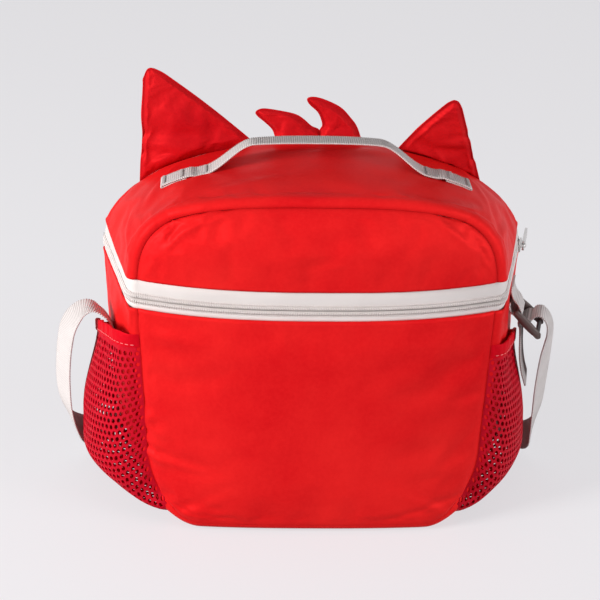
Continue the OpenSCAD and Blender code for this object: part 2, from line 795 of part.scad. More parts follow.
// A rail with round ends, seen along the bars
module lock_side() {
    translate([0, lock_rail, 0]) rotate([90, 0, 0]) linear_extrude(lock_rail) union() {
        translate([lock_t / 2, 0]) square([lock_l - lock_t, lock_t]);
        for (x = [lock_t / 2, lock_l - lock_t / 2])
            translate([x, lock_t / 2]) circle(d = lock_t, $fn = small_n);
    }
}

// A loop of webbing sewn to the side at both ends, round the buckle's fixed bar.
// Its points are [out of the side, 0, up, 0], from the upper sewn end over the bar to the lower one.
wrap_r = lock_bar / 2 + webbing_clear + web_t / 2;
function wrap_pt(angle) = [loop_reach + wrap_r * cos(angle), 0, wrap_r * sin(angle), 0];
function sewn_pt(up) = [layer_gap + web_t / 2 + side_lean * up, 0, up, 0];
// How the loop bows out, as shares of its reach and its height, and how it comes back
loop_bow = [[0.52, 0.52], [0.98, 0.31]];
loop_turn = [45, 0, -45, -90, -135];
loop_back = [2.8, -0.4];
loop_route = concat(
    [sewn_pt(loop_top), sewn_pt(loop_top - loop_sewn)],
    [for (p = loop_bow) [loop_reach * p.x, 0, loop_top * p.y, 0]],
    [for (angle = loop_turn) wrap_pt(angle)],
    [[loop_back.x, 0, loop_back.y, 0], sewn_pt(loop_low - loop_sewn), sewn_pt(loop_low)]
);
loop_fine = 2;

module strap_anchor_loop() {
    color(web_cream) at_anchor() swept(webbing_rings(smooth(loop_route, loop_fine), 0));
}

// Middle line of the strap, from its sewn left end, down and round behind the bag, up to the
// buckle and over its middle bar.
// The last number turns the webbing: 0 with its width along Y, 1 standing on its edge.
strap_lie = [
    [-131, 5, 108, 0], [-132, 5, 114, 0], [-134, 5, 120, 0], [-138, 5, 126, 0], [-145, 6, 130, 0],
    [-152, 7, 128.5, 0], [-158, 8, 122.5, 0], [-162.5, 10, 113, 0], [-165, 13, 100, 0], [-166.5, 16, 84, 0],
    [-166.5, 20, 66, 0.05], [-166, 25, 48, 0.2], [-164, 32, 33, 0.45], [-160, 42, 20, 0.75],
    [-154, 54, 13, 0.95], [-145, 72, 10.2, 1], [-131, 92, 10.2, 1], [-112, 108, 10.2, 1],
    [-88, 121, 10.2, 1], [-60, 130, 10.2, 1], [-30, 135, 10.2, 1], [2, 136, 10.2, 1],
    [34, 133, 10.2, 1], [62, 126, 10.2, 1], [88, 115, 10.2, 1], [111, 101, 10.2, 1],
    [129, 84, 10.2, 1], [143, 67, 10.5, 1], [150.5, 52, 13.5, 0.95], [154.5, 41, 21, 0.75],
    [157, 33, 34, 0.45], [157.5, 27, 48, 0.2], [157, 21, 66, 0.05], [156.5, 15, 84, 0],
    [156.5, 8.5, 100, 0], [157, 3.5, 112, 0], [157, 1, 120, 0], [155.6, 0, 127, 0],
    [151.8, 0.5, 131.6, 0], [147.8, 1.3, 131.5, 0]
];
// A point of the buckle's own frame, [along it, out of its face], in the bag's frame
function lock_pt(p) =
    let (out = loop_reach + p.x * cos(lock_tilt) + p.y * sin(lock_tilt))
    [anchor_x + out * cos(side_angle), strap_y - out * sin(side_angle),
        anchor_z - p.x * sin(lock_tilt) + p.y * cos(lock_tilt), 0];
function round_bar(angle) =
    lock_pt([middle_bar.x + wrap_r * cos(angle), middle_bar.y + wrap_r * sin(angle)]);
strap_turn = [90, 120, 144, 150];
strap_route = concat(strap_lie, [for (angle = strap_turn) round_bar(angle)]);
strap_fine = 2;

// The tail carries on from the middle bar, down through the inner slot and into the pocket
tail_turn = [158, 164, 180];
tail_slot = [[-0.4, -2], [-1.6, -4.4]];
tail_lie = [
    [136.4, 3.5, 121, 0], [136, 3.6, 113, 0], [135.7, 3.7, 104, 0], [135.9, 3.7, 95, 0],
    [136.3, 3.8, 86, 0]
];
tail_route = concat(
    [for (angle = tail_turn) round_bar(angle)],
    [for (p = tail_slot) lock_pt([middle_bar.x - wrap_r + p.x, p.y])],
    tail_lie
);

// A smooth curve through the route's points
function spline(p, i, t) =
    let (n = len(p) - 1)
    let (a = p[max(0, i - 1)], b = p[i], c = p[min(n, i + 1)], d = p[min(n, i + 2)])
    b + 0.5 * t * (c - a + t * (2 * a - 5 * b + 4 * c - d + t * (3 * b - a - 3 * c + d)));
function smooth(p, k) = concat(
    [for (i = [0 : len(p) - 2], j = [0 : k - 1]) spline(p, i, j / k)], [p[len(p) - 1]]);

// lean turns the webbing's width along the bag's side, which runs outwards to the front
function webbing_rings(path, lean) =
    [for (i = [0 : len(path) - 1])
        let (a = path[max(0, i - 1)], b = path[min(len(path) - 1, i + 1)], q = path[i][3])
        let (along = unit([b.x - a.x, b.y - a.y, b.z - a.z]))
        let (want = [sign(path[i].x) * lean * (1 - q), 1 - q, q])
        let (wide = unit(want - along * (want * along)) * web_w / 2)
        let (out = unit(cross(along, wide)) * web_t / 2)
        let (p = [path[i].x, path[i].y, path[i].z])
        [p - wide - out, p + wide - out, p + wide + out, p - wide + out]];

module shoulder_strap() {
    color(web_cream) swept(webbing_rings(smooth(strap_route, strap_fine), tan(side_angle)));
}
module strap_tail() {
    color(web_cream) swept(webbing_rings(smooth(tail_route, strap_fine), tan(side_angle)));
}

body_back_panel();
body_front_panel();
body_gusset();
body_back_foam();
body_front_foam();
body_gusset_foam();
body_back_liner();
body_front_liner();
body_gusset_liner();
lid_back_panel();
lid_front_panel();
lid_gusset();
lid_back_foam();
lid_front_foam();
lid_gusset_foam();
lid_back_liner();
lid_front_liner();
lid_gusset_liner();
zip_tape_lower();
zip_coil_lower();
zip_stops_lower();
zip_tape_upper();
zip_coil_upper();
zip_stops_upper();
zip_slider();
zip_pull();
left_pocket_mesh();
left_pocket_hem();
right_pocket_mesh();
right_pocket_hem();
carry_handle();
left_ear();
left_ear_filling();
right_ear();
right_ear_filling();
hair_tuft();
hair_tuft_filling();
strap_anchor_loop();
strap_buckle();
shoulder_strap();
strap_tail();
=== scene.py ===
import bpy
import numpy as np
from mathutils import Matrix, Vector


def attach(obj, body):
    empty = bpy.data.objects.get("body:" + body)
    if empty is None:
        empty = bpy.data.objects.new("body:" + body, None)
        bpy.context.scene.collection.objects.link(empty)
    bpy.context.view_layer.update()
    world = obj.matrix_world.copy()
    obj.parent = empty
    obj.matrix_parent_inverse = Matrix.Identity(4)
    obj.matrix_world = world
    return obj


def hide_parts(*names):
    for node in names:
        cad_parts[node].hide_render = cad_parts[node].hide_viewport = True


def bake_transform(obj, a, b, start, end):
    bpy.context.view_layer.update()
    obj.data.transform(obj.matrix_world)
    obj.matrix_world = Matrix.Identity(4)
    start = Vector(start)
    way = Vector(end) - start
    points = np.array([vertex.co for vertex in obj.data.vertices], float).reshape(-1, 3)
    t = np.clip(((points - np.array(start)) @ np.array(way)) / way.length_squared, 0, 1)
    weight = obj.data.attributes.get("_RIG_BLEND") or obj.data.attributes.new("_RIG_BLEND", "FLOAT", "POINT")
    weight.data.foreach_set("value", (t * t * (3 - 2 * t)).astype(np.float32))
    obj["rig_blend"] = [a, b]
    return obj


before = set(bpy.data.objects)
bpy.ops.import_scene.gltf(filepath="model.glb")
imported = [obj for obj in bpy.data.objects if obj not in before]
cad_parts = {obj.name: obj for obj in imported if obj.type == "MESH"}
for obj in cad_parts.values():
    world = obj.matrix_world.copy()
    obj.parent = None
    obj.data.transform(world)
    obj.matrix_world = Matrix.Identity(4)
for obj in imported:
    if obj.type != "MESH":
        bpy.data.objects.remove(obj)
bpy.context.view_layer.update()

import math
import bpy
import numpy as np
from mathutils import Matrix, Vector

mm = 0.001

# The bag's form, in metres: sections across its depth, v from 0 at the back seam to 1 at the front seam
bag = {
    "backWidth": 0.228, "frontWidth": 0.271, "depth": 0.134, "zipHeight": 0.161, "lidHeight": 0.071,
    "cornerWidth": 0.040, "cornerHeight": 0.058, "taper": 0.006, "roll": 0.006, "rollRun": 0.1,
    "backCrown": 0.018, "frontCrown": 0.010, "topSetback": 0.012, "baseSetback": 0.002,
    "facePower": 2.6, "backSquare": 3.4, "frontSquare": 1.95,
    "lidEdge": 0.174, "bodyEdge": 0.154,
}
# Points along half an outline: up the body's side, round its corner and over its base, and over the lid
outlineSteps = {"side": 48, "corner": 64, "base": 32, "lid": 112}
bodySteps = 2 * (outlineSteps["side"] + outlineSteps["corner"] + outlineSteps["base"])
halfDepth = bag["depth"] / 2
bagCentre = np.array([0, 0, 0.11])
hingeStart = (0, 0.067, 0.155)
hingeEnd = (0, 0.067, 0.167)


def lerp(a, b, t):
    return a + (b - a) * t


def ease(t):
    t = np.clip(t, 0, 1)
    return t * t * (3 - 2 * t)


def unit(p):
    return p / np.maximum(np.linalg.norm(p, axis=-1, keepdims=True), 1e-12)


# A soft bump, 1 at nought and falling away over a width
def bell(t, width):
    return np.exp(-(t / width) ** 2)


# The edges along both seams are rolled over, and tucked in by as much
def rolled(v):
    near = np.minimum(np.minimum(v, 1 - v) / bag["rollRun"], 1)
    return np.sqrt(np.maximum(0, 1 - (1 - near) ** 2))


def halfWidth(v, d=0):
    return lerp(bag["backWidth"], bag["frontWidth"], v) / 2 + bag["roll"] * rolled(v) - d


def tuck(v):
    return bag["roll"] * (1 - rolled(v))


def squareness(v):
    return lerp(bag["backSquare"], bag["frontSquare"], v)


# Half width of the body's side at height z
def bodySide(z, v, d=0):
    rx = bag["cornerWidth"] - tuck(v) - d
    rz = bag["cornerHeight"] - tuck(v) - d
    low = tuck(v) + d + rz
    w = halfWidth(v, d) - bag["taper"]
    curved = w - rx * (1 - np.sqrt(np.maximum(0, 1 - np.clip((low - z) / rz, 0, 1) ** 2)))
    straight = w + bag["taper"] * (z - low) / (bag["zipHeight"] - low)
    return np.where(z < low, curved, straight)


# Half width of the lid at height z
def lidSide(z, v, d):
    h = bag["lidHeight"] - tuck(v) - d
    q = squareness(v)
    return halfWidth(v, d) * np.maximum(1 - (np.maximum(z - bag["zipHeight"], 0) / h) ** q, 0) ** (1 / q)


# Height of the lid's top
def lidTop(x, v):
    q = squareness(v)
    share = np.minimum(np.abs(x) / halfWidth(v), 1)
    return bag["zipHeight"] + (bag["lidHeight"] - tuck(v)) * (1 - share ** q) ** (1 / q)


# How far a face or the band's edge stands back, at its sides and in the middle of its top or base
def setback(a, b, side, middle):
    s = np.abs(a) ** bag["facePower"]
    return side * s + middle * b ** 3 * (1 - s)


def gussetDepth(v, a, b, middle, d=0):
    back = d - halfDepth + setback(a, b, bag["backCrown"], middle)
    front = halfDepth - d - setback(a, b, bag["frontCrown"], middle)
    return lerp(back, front, v)


def bodyOutline(v, d, edge):
    rx = bag["cornerWidth"] - tuck(v) - d
    rz = bag["cornerHeight"] - tuck(v) - d
    low = tuck(v) + d
    flat = halfWidth(v, d) - bag["taper"] - rx
    z = np.linspace(edge, low + rz, outlineSteps["side"] + 1)[:-1]
    down = np.stack([bodySide(z, v, d), z], 1)
    a = np.radians(np.linspace(0, 90, outlineSteps["corner"] + 1))
    turn = np.stack([flat + rx * np.cos(a), low + rz * (1 - np.sin(a))], 1)
    along = np.stack([np.linspace(flat, 0, outlineSteps["base"] + 1)[1:], np.full(outlineSteps["base"], low)], 1)
    half = np.concatenate([down, turn, along])
    return np.concatenate([half, half[-2::-1] * [-1, 1]])


def lidOutline(v, d, edge):
    h = bag["lidHeight"] - tuck(v) - d
    q = squareness(v)
    start = math.asin(((edge - bag["zipHeight"]) / h) ** (q / 2))
    a = np.linspace(start, math.pi / 2, outlineSteps["lid"] + 1)
    across, up = np.cos(a).clip(0) ** (2 / q), np.sin(a) ** (2 / q)
    half = np.stack([halfWidth(v, d) * across, bag["zipHeight"] + h * up], 1)
    half[-1, 0] = 0
    return np.concatenate([half, half[-2::-1] * [-1, 1]])


# Share of an outline that each face's side takes, from its edge to its corner, on the body and on the lid
cornerShare = {False: (outlineSteps["side"] + outlineSteps["corner"] / 2) / bodySteps, True: 0.25}


def onLine(line, t):
    x = np.clip(t, 0, 1) * (len(line) - 1)
    i = np.minimum(x.astype(int), len(line) - 2)
    return line[i] + (line[i + 1] - line[i]) * (x - i)[..., None]


def outline(isLid, v, d, edge):
    return lidOutline(v, d, edge) if isLid else bodyOutline(v, d, edge)


# Points of the band that runs round the sides and the top or the base
def gussetPoints(isLid, d, edge, along, across):
    middle = bag["topSetback"] if isLid else bag["baseSetback"]
    a = np.minimum(1, np.abs(2 * along - 1) / (1 - 2 * cornerShare[isLid]))
    columns = []
    for v in across:
        p = onLine(outline(isLid, v, d, edge), along)
        columns.append(np.stack([p[:, 0], gussetDepth(v, a, 1, middle, d), p[:, 1]], 1))
    return np.stack(columns, 1)


# Points of a face, filled in between its sides and its top or bottom edge
def facePoints(isLid, front, d, edge, aa, bb):
    c = cornerShare[isLid]
    line = outline(isLid, 1.0 if front else 0.0, d, edge)
    a, b = np.meshgrid(aa, bb)
    level = lambda t: lerp(line[0], line[-1], t[..., None])
    left, right = onLine(line, c * b), onLine(line, 1 - c * b)
    far = onLine(line, c + a * (1 - 2 * c))
    ends = [onLine(line, np.full_like(a, share)) for share in (c, 1 - c)]
    farLevel = lerp(*ends, a[..., None])
    p = lerp(level(a), far, b[..., None]) + lerp(left, right, a[..., None]) - lerp(level(a), farLevel, b[..., None])
    crown = bag["frontCrown"] if front else bag["backCrown"]
    middle = bag["topSetback"] if isLid else bag["baseSetback"]
    y = halfDepth - d - setback(2 * a - 1, b, crown, middle)
    return np.stack([p[..., 0], y if front else -y, p[..., 1]], -1)


# Shares from 0 to 1 that lie closer together at both ends, or at the end alone
def clustered(n, share, bothEnds=True):
    t = np.linspace(0, 1, n + 1)
    close = 0.5 - 0.5 * np.cos(math.pi * t) if bothEnds else np.sin(math.pi / 2 * t)
    return lerp(t, close, share)


faceAcross = clustered(72, 0.55)
faceDown = clustered(40, 0.5, bothEnds=False)
rollTurn = 1 - np.cos(np.radians(np.linspace(0, 90, 13)))
gussetAcross = np.concatenate([
    bag["rollRun"] * rollTurn, np.linspace(bag["rollRun"], 1 - bag["rollRun"], 17)[1:-1],
    1 - bag["rollRun"] * rollTurn[::-1]])


def gussetAlong(isLid):
    c = cornerShare[isLid]
    return np.concatenate([c * faceDown, c + (1 - 2 * c) * faceAcross[1:], 1 - c * faceDown[::-1][1:]])


# Directions square to a grid of points, one way or the other
def crossed(p):
    return np.cross(np.gradient(p, axis=1), np.gradient(p, axis=0))


def surfaceNormals(p):
    n = unit(crossed(p))
    return n if np.sum(n * (p - bagCentre)) > 0 else -n


# Lengths along the rows or columns of a grid of points
def arcs(p, axis):
    sums = np.cumsum(np.linalg.norm(np.diff(p, axis=axis), axis=2), axis)
    return np.concatenate([np.zeros_like(sums.take([0], axis)), sums], axis)


def shown(item):
    bpy.context.scene.collection.objects.link(item)
    return item


# A sheet of cloth from rows of points, with a map of its real lengths
def clothGrid(name, p, attributes=None, outwards=True):
    rows, cols = p.shape[:2]
    turned = (np.sum(crossed(p) * (p - bagCentre)) > 0) == outwards
    index = np.arange(rows * cols).reshape(rows, cols)
    a, b, c, d = index[:-1, :-1], index[:-1, 1:], index[1:, 1:], index[1:, :-1]
    quads = np.stack([a, b, c, d] if turned else [a, d, c, b], -1).reshape(-1, 4)
    mesh = bpy.data.meshes.new(name)
    mesh.from_pydata([tuple(q) for q in p.reshape(-1, 3)], [], quads.tolist())
    u = arcs(p, 1)
    uv = np.stack([u - u.mean(1, keepdims=True), arcs(p, 0)], -1).reshape(-1, 2)
    loops = np.array([loop.vertex_index for loop in mesh.loops])
    layer = mesh.uv_layers.new(name="clothMap")
    layer.data.foreach_set("uv", uv[loops].astype(np.float32).ravel())
    for key, values in (attributes or {}).items():
        attribute = mesh.attributes.new(key, "FLOAT", "POINT")
        attribute.data.foreach_set("value", np.asarray(values, np.float32).ravel())
    return shown(bpy.data.objects.new(name, mesh))


def only(piece):
    bpy.ops.object.select_all(action="DESELECT")
    piece.select_set(True)
    bpy.context.view_layer.objects.active = piece


def applied(piece, kind, **settings):
    only(piece)
    modifier = piece.modifiers.new(kind.title(), kind)
    for key, value in settings.items():
        setattr(modifier, key, value)
    bpy.ops.object.modifier_apply(modifier=modifier.name)


def smooth(piece, angle=None):
    only(piece)
    if angle is None:
        bpy.ops.object.shade_smooth()
    else:
        bpy.ops.object.shade_smooth_by_angle(angle=math.radians(angle))


def subdivided(piece):
    applied(piece, "SUBSURF", levels=1, render_levels=1, boundary_smooth="PRESERVE_CORNERS")


def thickened(piece, thickness):
    applied(piece, "SOLIDIFY", thickness=thickness, offset=-1, use_even_offset=False)


def vectors(items, key):
    values = np.zeros(len(items) * 3, np.float32)
    items.foreach_get(key, values)
    return values.reshape(-1, 3).astype(float)


def coordinates(piece):
    return vectors(piece.data.vertices, "co")


def setCoordinates(piece, co):
    piece.data.vertices.foreach_set("co", np.asarray(co, np.float32).ravel())
    piece.data.update()


def vertexNormals(piece):
    return vectors(piece.data.vertex_normals, "vector")


sewing = {"quality": 6, "mass": 0.3, "bending": 0.6, "frames": 20}


# Blows a pinned sheet up with air, as its padding does, and caps how far any point moves
def inflated(piece, pins, pressure, slack, cap, stiffness=12):
    start = coordinates(piece)
    group = piece.vertex_groups.new(name="seams")
    for index, weight in enumerate(pins):
        if weight > 0:
            group.add([index], float(weight), "REPLACE")
    modifier = piece.modifiers.new("Cloth", "CLOTH")
    cloth = modifier.settings
    cloth.quality = sewing["quality"]
    cloth.mass = sewing["mass"]
    cloth.tension_stiffness = cloth.compression_stiffness = stiffness
    cloth.shear_stiffness = stiffness / 2
    cloth.bending_stiffness = sewing["bending"]
    cloth.vertex_group_mass = "seams"
    cloth.use_pressure = True
    cloth.uniform_pressure_force = pressure
    cloth.shrink_min = -slack
    cloth.effector_weights.gravity = 0
    modifier.collision_settings.use_collision = False
    modifier.point_cache.frame_start, modifier.point_cache.frame_end = 1, sewing["frames"]
    scene = bpy.context.scene
    for moment in range(1, sewing["frames"] + 1):
        scene.frame_set(moment)
    ready = piece.evaluated_get(bpy.context.evaluated_depsgraph_get())
    move = coordinates(ready) - start
    size = np.linalg.norm(move, axis=1, keepdims=True)
    move *= cap * np.tanh(size / cap) / np.maximum(size, 1e-9)
    piece.modifiers.remove(modifier)
    piece.vertex_groups.clear()
    scene.frame_set(1)
    setCoordinates(piece, start + move)
    print(f"  {piece.name}: padding moved it up to {size.max() / mm:.1f} mm")


dent = {"depth": 0.6, "beside": 1.6, "skin": 0.02}


# Soft folds: each is [x, y, z, direction, length, width, height], with lengths in metres
def creased(piece, folds):
    co, n = coordinates(piece), vertexNormals(piece)
    for x, y, z, way, length, width, height in folds:
        along = unit(np.array(way, float))
        away = co - [x, y, z]
        t = away @ along
        side = np.cross(n, along)
        s = np.sum(away * unit(side), axis=1)
        ridge = bell(s, width) - dent["depth"] * bell(s - dent["beside"] * width, width)
        reach = bell(t, length) * bell(np.sum(away * n, axis=1), dent["skin"])
        co += n * (height * ridge * reach)[:, None]
    setCoordinates(piece, co)


# Seeded waves of about one size, in no set direction
def waves(p, size, seed):
    out = np.zeros(len(p))
    r = np.random.RandomState(seed)
    for _ in range(7):
        k = unit(r.normal(size=3)) * 2 * math.pi / (size * r.uniform(0.7, 1.6))
        out += np.sin(p @ k + r.uniform(0, 2 * math.pi))
    return out / 7


def joined(pieces, name):
    only(pieces[0])
    for piece in pieces:
        piece.select_set(True)
    bpy.ops.object.join()
    pieces[0].name = name
    return pieces[0]


def painted(piece, material):
    piece.data.materials.clear()
    piece.data.materials.append(material)
    return piece


# A piece on its body, in place of its nodes. Joined pieces keep the materials of their parts.
def dressed(piece, material, body, slotName, *nodes):
    if material is not None:
        painted(piece, material)
    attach(piece, body)
    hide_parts(*nodes)
    return piece


# Camera: angles in degrees, lengths in metres
view = {"turn": -2.2, "rise": 24, "roll": 1.3, "distance": 1.5, "target": (-0.009, 0, 0.139),
        "pixelsPerMetre": 1520, "pixels": 600}


def placedCamera():
    turn, rise, roll = (math.radians(view[key]) for key in ("turn", "rise", "roll"))
    back = Vector((math.sin(turn) * math.cos(rise), -math.cos(turn) * math.cos(rise), math.sin(rise)))
    level = Vector((math.cos(turn), math.sin(turn), 0))
    upright = back.cross(level)
    right = level * math.cos(roll) + upright * math.sin(roll)
    up = upright * math.cos(roll) - level * math.sin(roll)
    data = bpy.data.cameras.new("camera")
    data.sensor_width = 36
    data.lens = data.sensor_width * view["pixelsPerMetre"] * view["distance"] / view["pixels"]
    data.clip_start, data.clip_end = 0.05, 30
    camera = shown(bpy.data.objects.new("camera", data))
    camera.matrix_world = Matrix((right, up, back)).transposed().to_4x4()
    camera.location = Vector(view["target"]) + back * view["distance"]
    bpy.context.scene.camera = camera


placedCamera()
print("camera placed")


# Materials read object coordinates or the piece's own map
def newMaterial(name):
    material = bpy.data.materials.new(name)
    material.use_nodes = True
    tree = material.node_tree
    return material, tree, tree.nodes["Principled BSDF"]


def setInput(tree, socket, value):
    if isinstance(value, bpy.types.NodeSocket):
        tree.links.new(value, socket)
    else:
        socket.default_value = value


def add(tree, kind, inputs=None, **settings):
    made = tree.nodes.new(kind)
    for key, value in settings.items():
        setattr(made, key, value)
    for key, value in (inputs or {}).items():
        setInput(tree, made.inputs[key], value)
    return made


def mixed(tree, factor, a, b):
    made = add(tree, "ShaderNodeMix", data_type="RGBA")
    for socket, value in zip((made.inputs[0], made.inputs[6], made.inputs[7]), (factor, a, b)):
        setInput(tree, socket, (*value, 1) if isinstance(value, tuple) else value)
    return made.outputs[2]


def ranged(tree, value, low, high, fromLow=0.0, fromHigh=1.0):
    limits = {"From Min": fromLow, "From Max": fromHigh, "To Min": low, "To Max": high}
    return add(tree, "ShaderNodeMapRange", {"Value": value, **limits}).outputs["Result"]


def times(tree, a, b, operation="MULTIPLY"):
    made = add(tree, "ShaderNodeMath", operation=operation)
    for socket, value in zip(made.inputs, (a, b)):
        setInput(tree, socket, value)
    return made.outputs[0]


def noise(tree, vector, scale, detail, roughness=0.5):
    inputs = {"Vector": vector, "Scale": scale, "Detail": detail, "Roughness": roughness}
    return add(tree, "ShaderNodeTexNoise", inputs).outputs["Fac"]


# Stripes one pitch apart, in metres, along an axis of the map
def stripes(tree, vector, pitch, axis, distortion=0.0):
    inputs = {"Vector": vector, "Scale": 2 * math.pi / (20 * pitch), "Distortion": distortion,
              "Detail": 1.0, "Detail Scale": 0.4}
    return add(tree, "ShaderNodeTexWave", inputs, wave_type="BANDS", bands_direction=axis).outputs["Fac"]


def bumped(tree, height, strength, distance, under=None):
    made = add(tree, "ShaderNodeBump", {"Height": height, "Strength": strength, "Distance": distance})
    if under is not None:
        tree.links.new(under, made.inputs["Normal"])
    return made.outputs["Normal"]


def mapped(tree):
    return add(tree, "ShaderNodeUVMap", uv_map="clothMap").outputs["UV"]


def placed(tree):
    return add(tree, "ShaderNodeTexCoord").outputs["Object"]


def finished(tree, shader, colour, roughness, normal, **constants):
    tree.links.new(colour, shader.inputs["Base Color"])
    tree.links.new(roughness, shader.inputs["Roughness"])
    tree.links.new(normal, shader.inputs["Normal"])
    for key, value in constants.items():
        shader.inputs[key.replace("_", " ")].default_value = value


def shaded(colour, share):
    return tuple(c * share for c in colour)


# Close satin weave: threads, faint slubs that are paler in places, soft rumples, and painted shade that darkens the
# cloth in its seams
def satin(name, deep, bright, threads=0.00055, lustre=0.12, rumple=0.0008, gloss=0.46):
    material, tree, shader = newMaterial(name)
    here, cloth = placed(tree), mapped(tree)
    mottle = noise(tree, here, 11, 4, 0.6)
    slub = noise(tree, here, 420, 2, 0.6)
    seam = add(tree, "ShaderNodeAttribute", attribute_name="seam").outputs["Fac"]
    colour = mixed(tree, ranged(tree, mottle, 0, 1, 0.3, 0.7), deep, bright)
    paler = tuple(min(1, c * 1.25 + 0.01) for c in bright)
    colour = mixed(tree, ranged(tree, slub, 0, 0.12, 0.35, 0.7), colour, paler)
    # Painted shade: the cloth is darker where the piece marks its seams
    colour = mixed(tree, times(tree, seam, 0.5), colour, shaded(deep, 0.5))
    weave = times(tree, stripes(tree, cloth, threads, "X"), stripes(tree, cloth, threads, "Y"))
    normal = bumped(tree, weave, 0.22, 0.00008)
    normal = bumped(tree, slub, 0.18, 0.00012, normal)
    normal = bumped(tree, noise(tree, here, 38, 3, 0.55), 0.5, rumple, normal)
    finished(tree, shader, colour, ranged(tree, mottle, gloss - 0.05, gloss + 0.06, 0.3, 0.7), normal,
             Metallic=lustre, Specular_IOR_Level=0.07, Specular_Tint=(1.0, 0.25, 0.2, 1))
    return material


# Ribbed webbing: ribs across with painted shade in their valleys, fine threads along, and dust in patches
def webbingCloth(name, pale, shade):
    material, tree, shader = newMaterial(name)
    here, cloth = placed(tree), mapped(tree)
    ribs = stripes(tree, cloth, 0.0014, "X", 0.4)
    threads = stripes(tree, cloth, 0.0005, "Y")
    # Painted shade: the rib valleys take the darker colour
    colour = mixed(tree, ranged(tree, ribs, 0, 1, 0.1, 0.75), shade, pale)
    dust = ranged(tree, noise(tree, here, 60, 4), 0, 0.35, 0.35, 0.75)
    colour = mixed(tree, dust, colour, shaded(pale, 0.82))
    normal = bumped(tree, ribs, 0.5, 0.00022)
    normal = bumped(tree, threads, 0.35, 0.0001, normal)
    normal = bumped(tree, noise(tree, here, 1400, 2), 0.25, 0.0001, normal)
    finished(tree, shader, colour, ranged(tree, ribs, 0.86, 0.7), normal, Sheen_Weight=0.15, Specular_IOR_Level=0.25)
    return material


# Twill tape, with slanting ridges
def twillTape(name, pale, shade):
    material, tree, shader = newMaterial(name)
    here, cloth = placed(tree), mapped(tree)
    turned = add(tree, "ShaderNodeMapping", {"Vector": cloth, "Rotation": (0, 0, math.radians(35))}).outputs["Vector"]
    twill = stripes(tree, turned, 0.0007, "X", 0.3)
    colour = mixed(tree, ranged(tree, noise(tree, here, 24, 4), 0, 1, 0.3, 0.75), pale, shade)
    colour = mixed(tree, times(tree, twill, 0.18), colour, shade)
    normal = bumped(tree, twill, 0.35, 0.0001)
    normal = bumped(tree, noise(tree, here, 55, 3), 0.4, 0.0005, normal)
    finished(tree, shader, colour, ranged(tree, twill, 0.62, 0.74), normal, Sheen_Weight=0.1, Specular_IOR_Level=0.3)
    return material


# Knitted or moulded surfaces with a grain at one size
def grained(name, base, tint, grain, roughness, depth, metallic=0.0, sheen=0.0, specular=0.5):
    material, tree, shader = newMaterial(name)
    here = placed(tree)
    coarse = noise(tree, here, grain / 8, 4, 0.6)
    fine = noise(tree, here, grain, 3, 0.6)
    colour = mixed(tree, ranged(tree, coarse, 0, 1, 0.3, 0.7), base, tint)
    colour = mixed(tree, ranged(tree, fine, 0, 0.25, 0.4, 0.7), colour, shaded(base, 0.8))
    normal = bumped(tree, fine, 0.45, depth)
    normal = bumped(tree, coarse, 0.3, depth * 4, normal)
    finished(tree, shader, colour, ranged(tree, coarse, roughness - 0.08, roughness + 0.1, 0.3, 0.7), normal,
             Metallic=metallic, Sheen_Weight=sheen, Specular_IOR_Level=specular)
    return material


redSatin = satin("redSatin", (0.68, 0.006, 0.010), (0.84, 0.019, 0.018))
# The ears and tuft take a darker copy of the red satin: painted shade over the whole of each piece
shadedEarSatin = satin("shadedEarSatin", (0.48, 0.004, 0.009), (0.63, 0.011, 0.014), rumple=0.0005)
hemCloth = satin("hemCloth", (0.58, 0.002, 0.010), (0.68, 0.004, 0.016), threads=0.0007, lustre=0.1, gloss=0.6)
meshKnit = grained("meshKnit", (0.50, 0.0015, 0.013), (0.62, 0.003, 0.020), 2200, 0.6, 0.0002, specular=0.1)
tapeTwill = twillTape("tapeTwill", (0.80, 0.745, 0.73), (0.72, 0.665, 0.65))
# The coil rows' own colour, darkened from the tape's as painted shade for the groove between the tapes
shadedCoilNylon = grained("shadedCoilNylon", (0.56, 0.51, 0.49), (0.64, 0.585, 0.57), 1500, 0.55, 0.00006, specular=0.2)
stitchThread = grained("stitchThread", (0.84, 0.77, 0.75), (0.90, 0.83, 0.81), 3000, 0.7, 0.00005, sheen=0.1)
pinkThread = grained("pinkThread", (0.80, 0.16, 0.17), (0.86, 0.24, 0.24), 3000, 0.65, 0.00005, sheen=0.1)
tackThread = grained("tackThread", (0.36, 0.31, 0.31), (0.44, 0.39, 0.38), 3000, 0.7, 0.00005, sheen=0.1)
paleWebbing = webbingCloth("paleWebbing", (0.76, 0.71, 0.70), (0.50, 0.46, 0.455))
shadedWebbing = webbingCloth("shadedWebbing", (0.56, 0.52, 0.51), (0.33, 0.30, 0.295))
bucklePlastic = grained("bucklePlastic", (0.105, 0.078, 0.072), (0.14, 0.106, 0.098), 900, 0.42, 0.00005)
zipMetal = grained("zipMetal", (0.60, 0.585, 0.57), (0.70, 0.685, 0.67), 700, 0.3, 0.00003, metallic=1.0)
innerFilm = grained("innerFilm", (0.56, 0.58, 0.60), (0.66, 0.68, 0.70), 60, 0.34, 0.0003)
bindingTape = twillTape("bindingTape", (0.50, 0.49, 0.49), (0.40, 0.39, 0.39))
print("materials made")


# Edit steps that several pieces share
outward = ("normals_make_consistent", {"inside": False})
weld = ("remove_doubles", {"threshold": 0.00002})


def edited(piece, *steps):
    only(piece)
    bpy.ops.object.mode_set(mode="EDIT")
    bpy.ops.mesh.select_all(action="SELECT")
    for step, settings in steps:
        getattr(bpy.ops.mesh, step)(**settings)
    bpy.ops.object.mode_set(mode="OBJECT")
    return piece


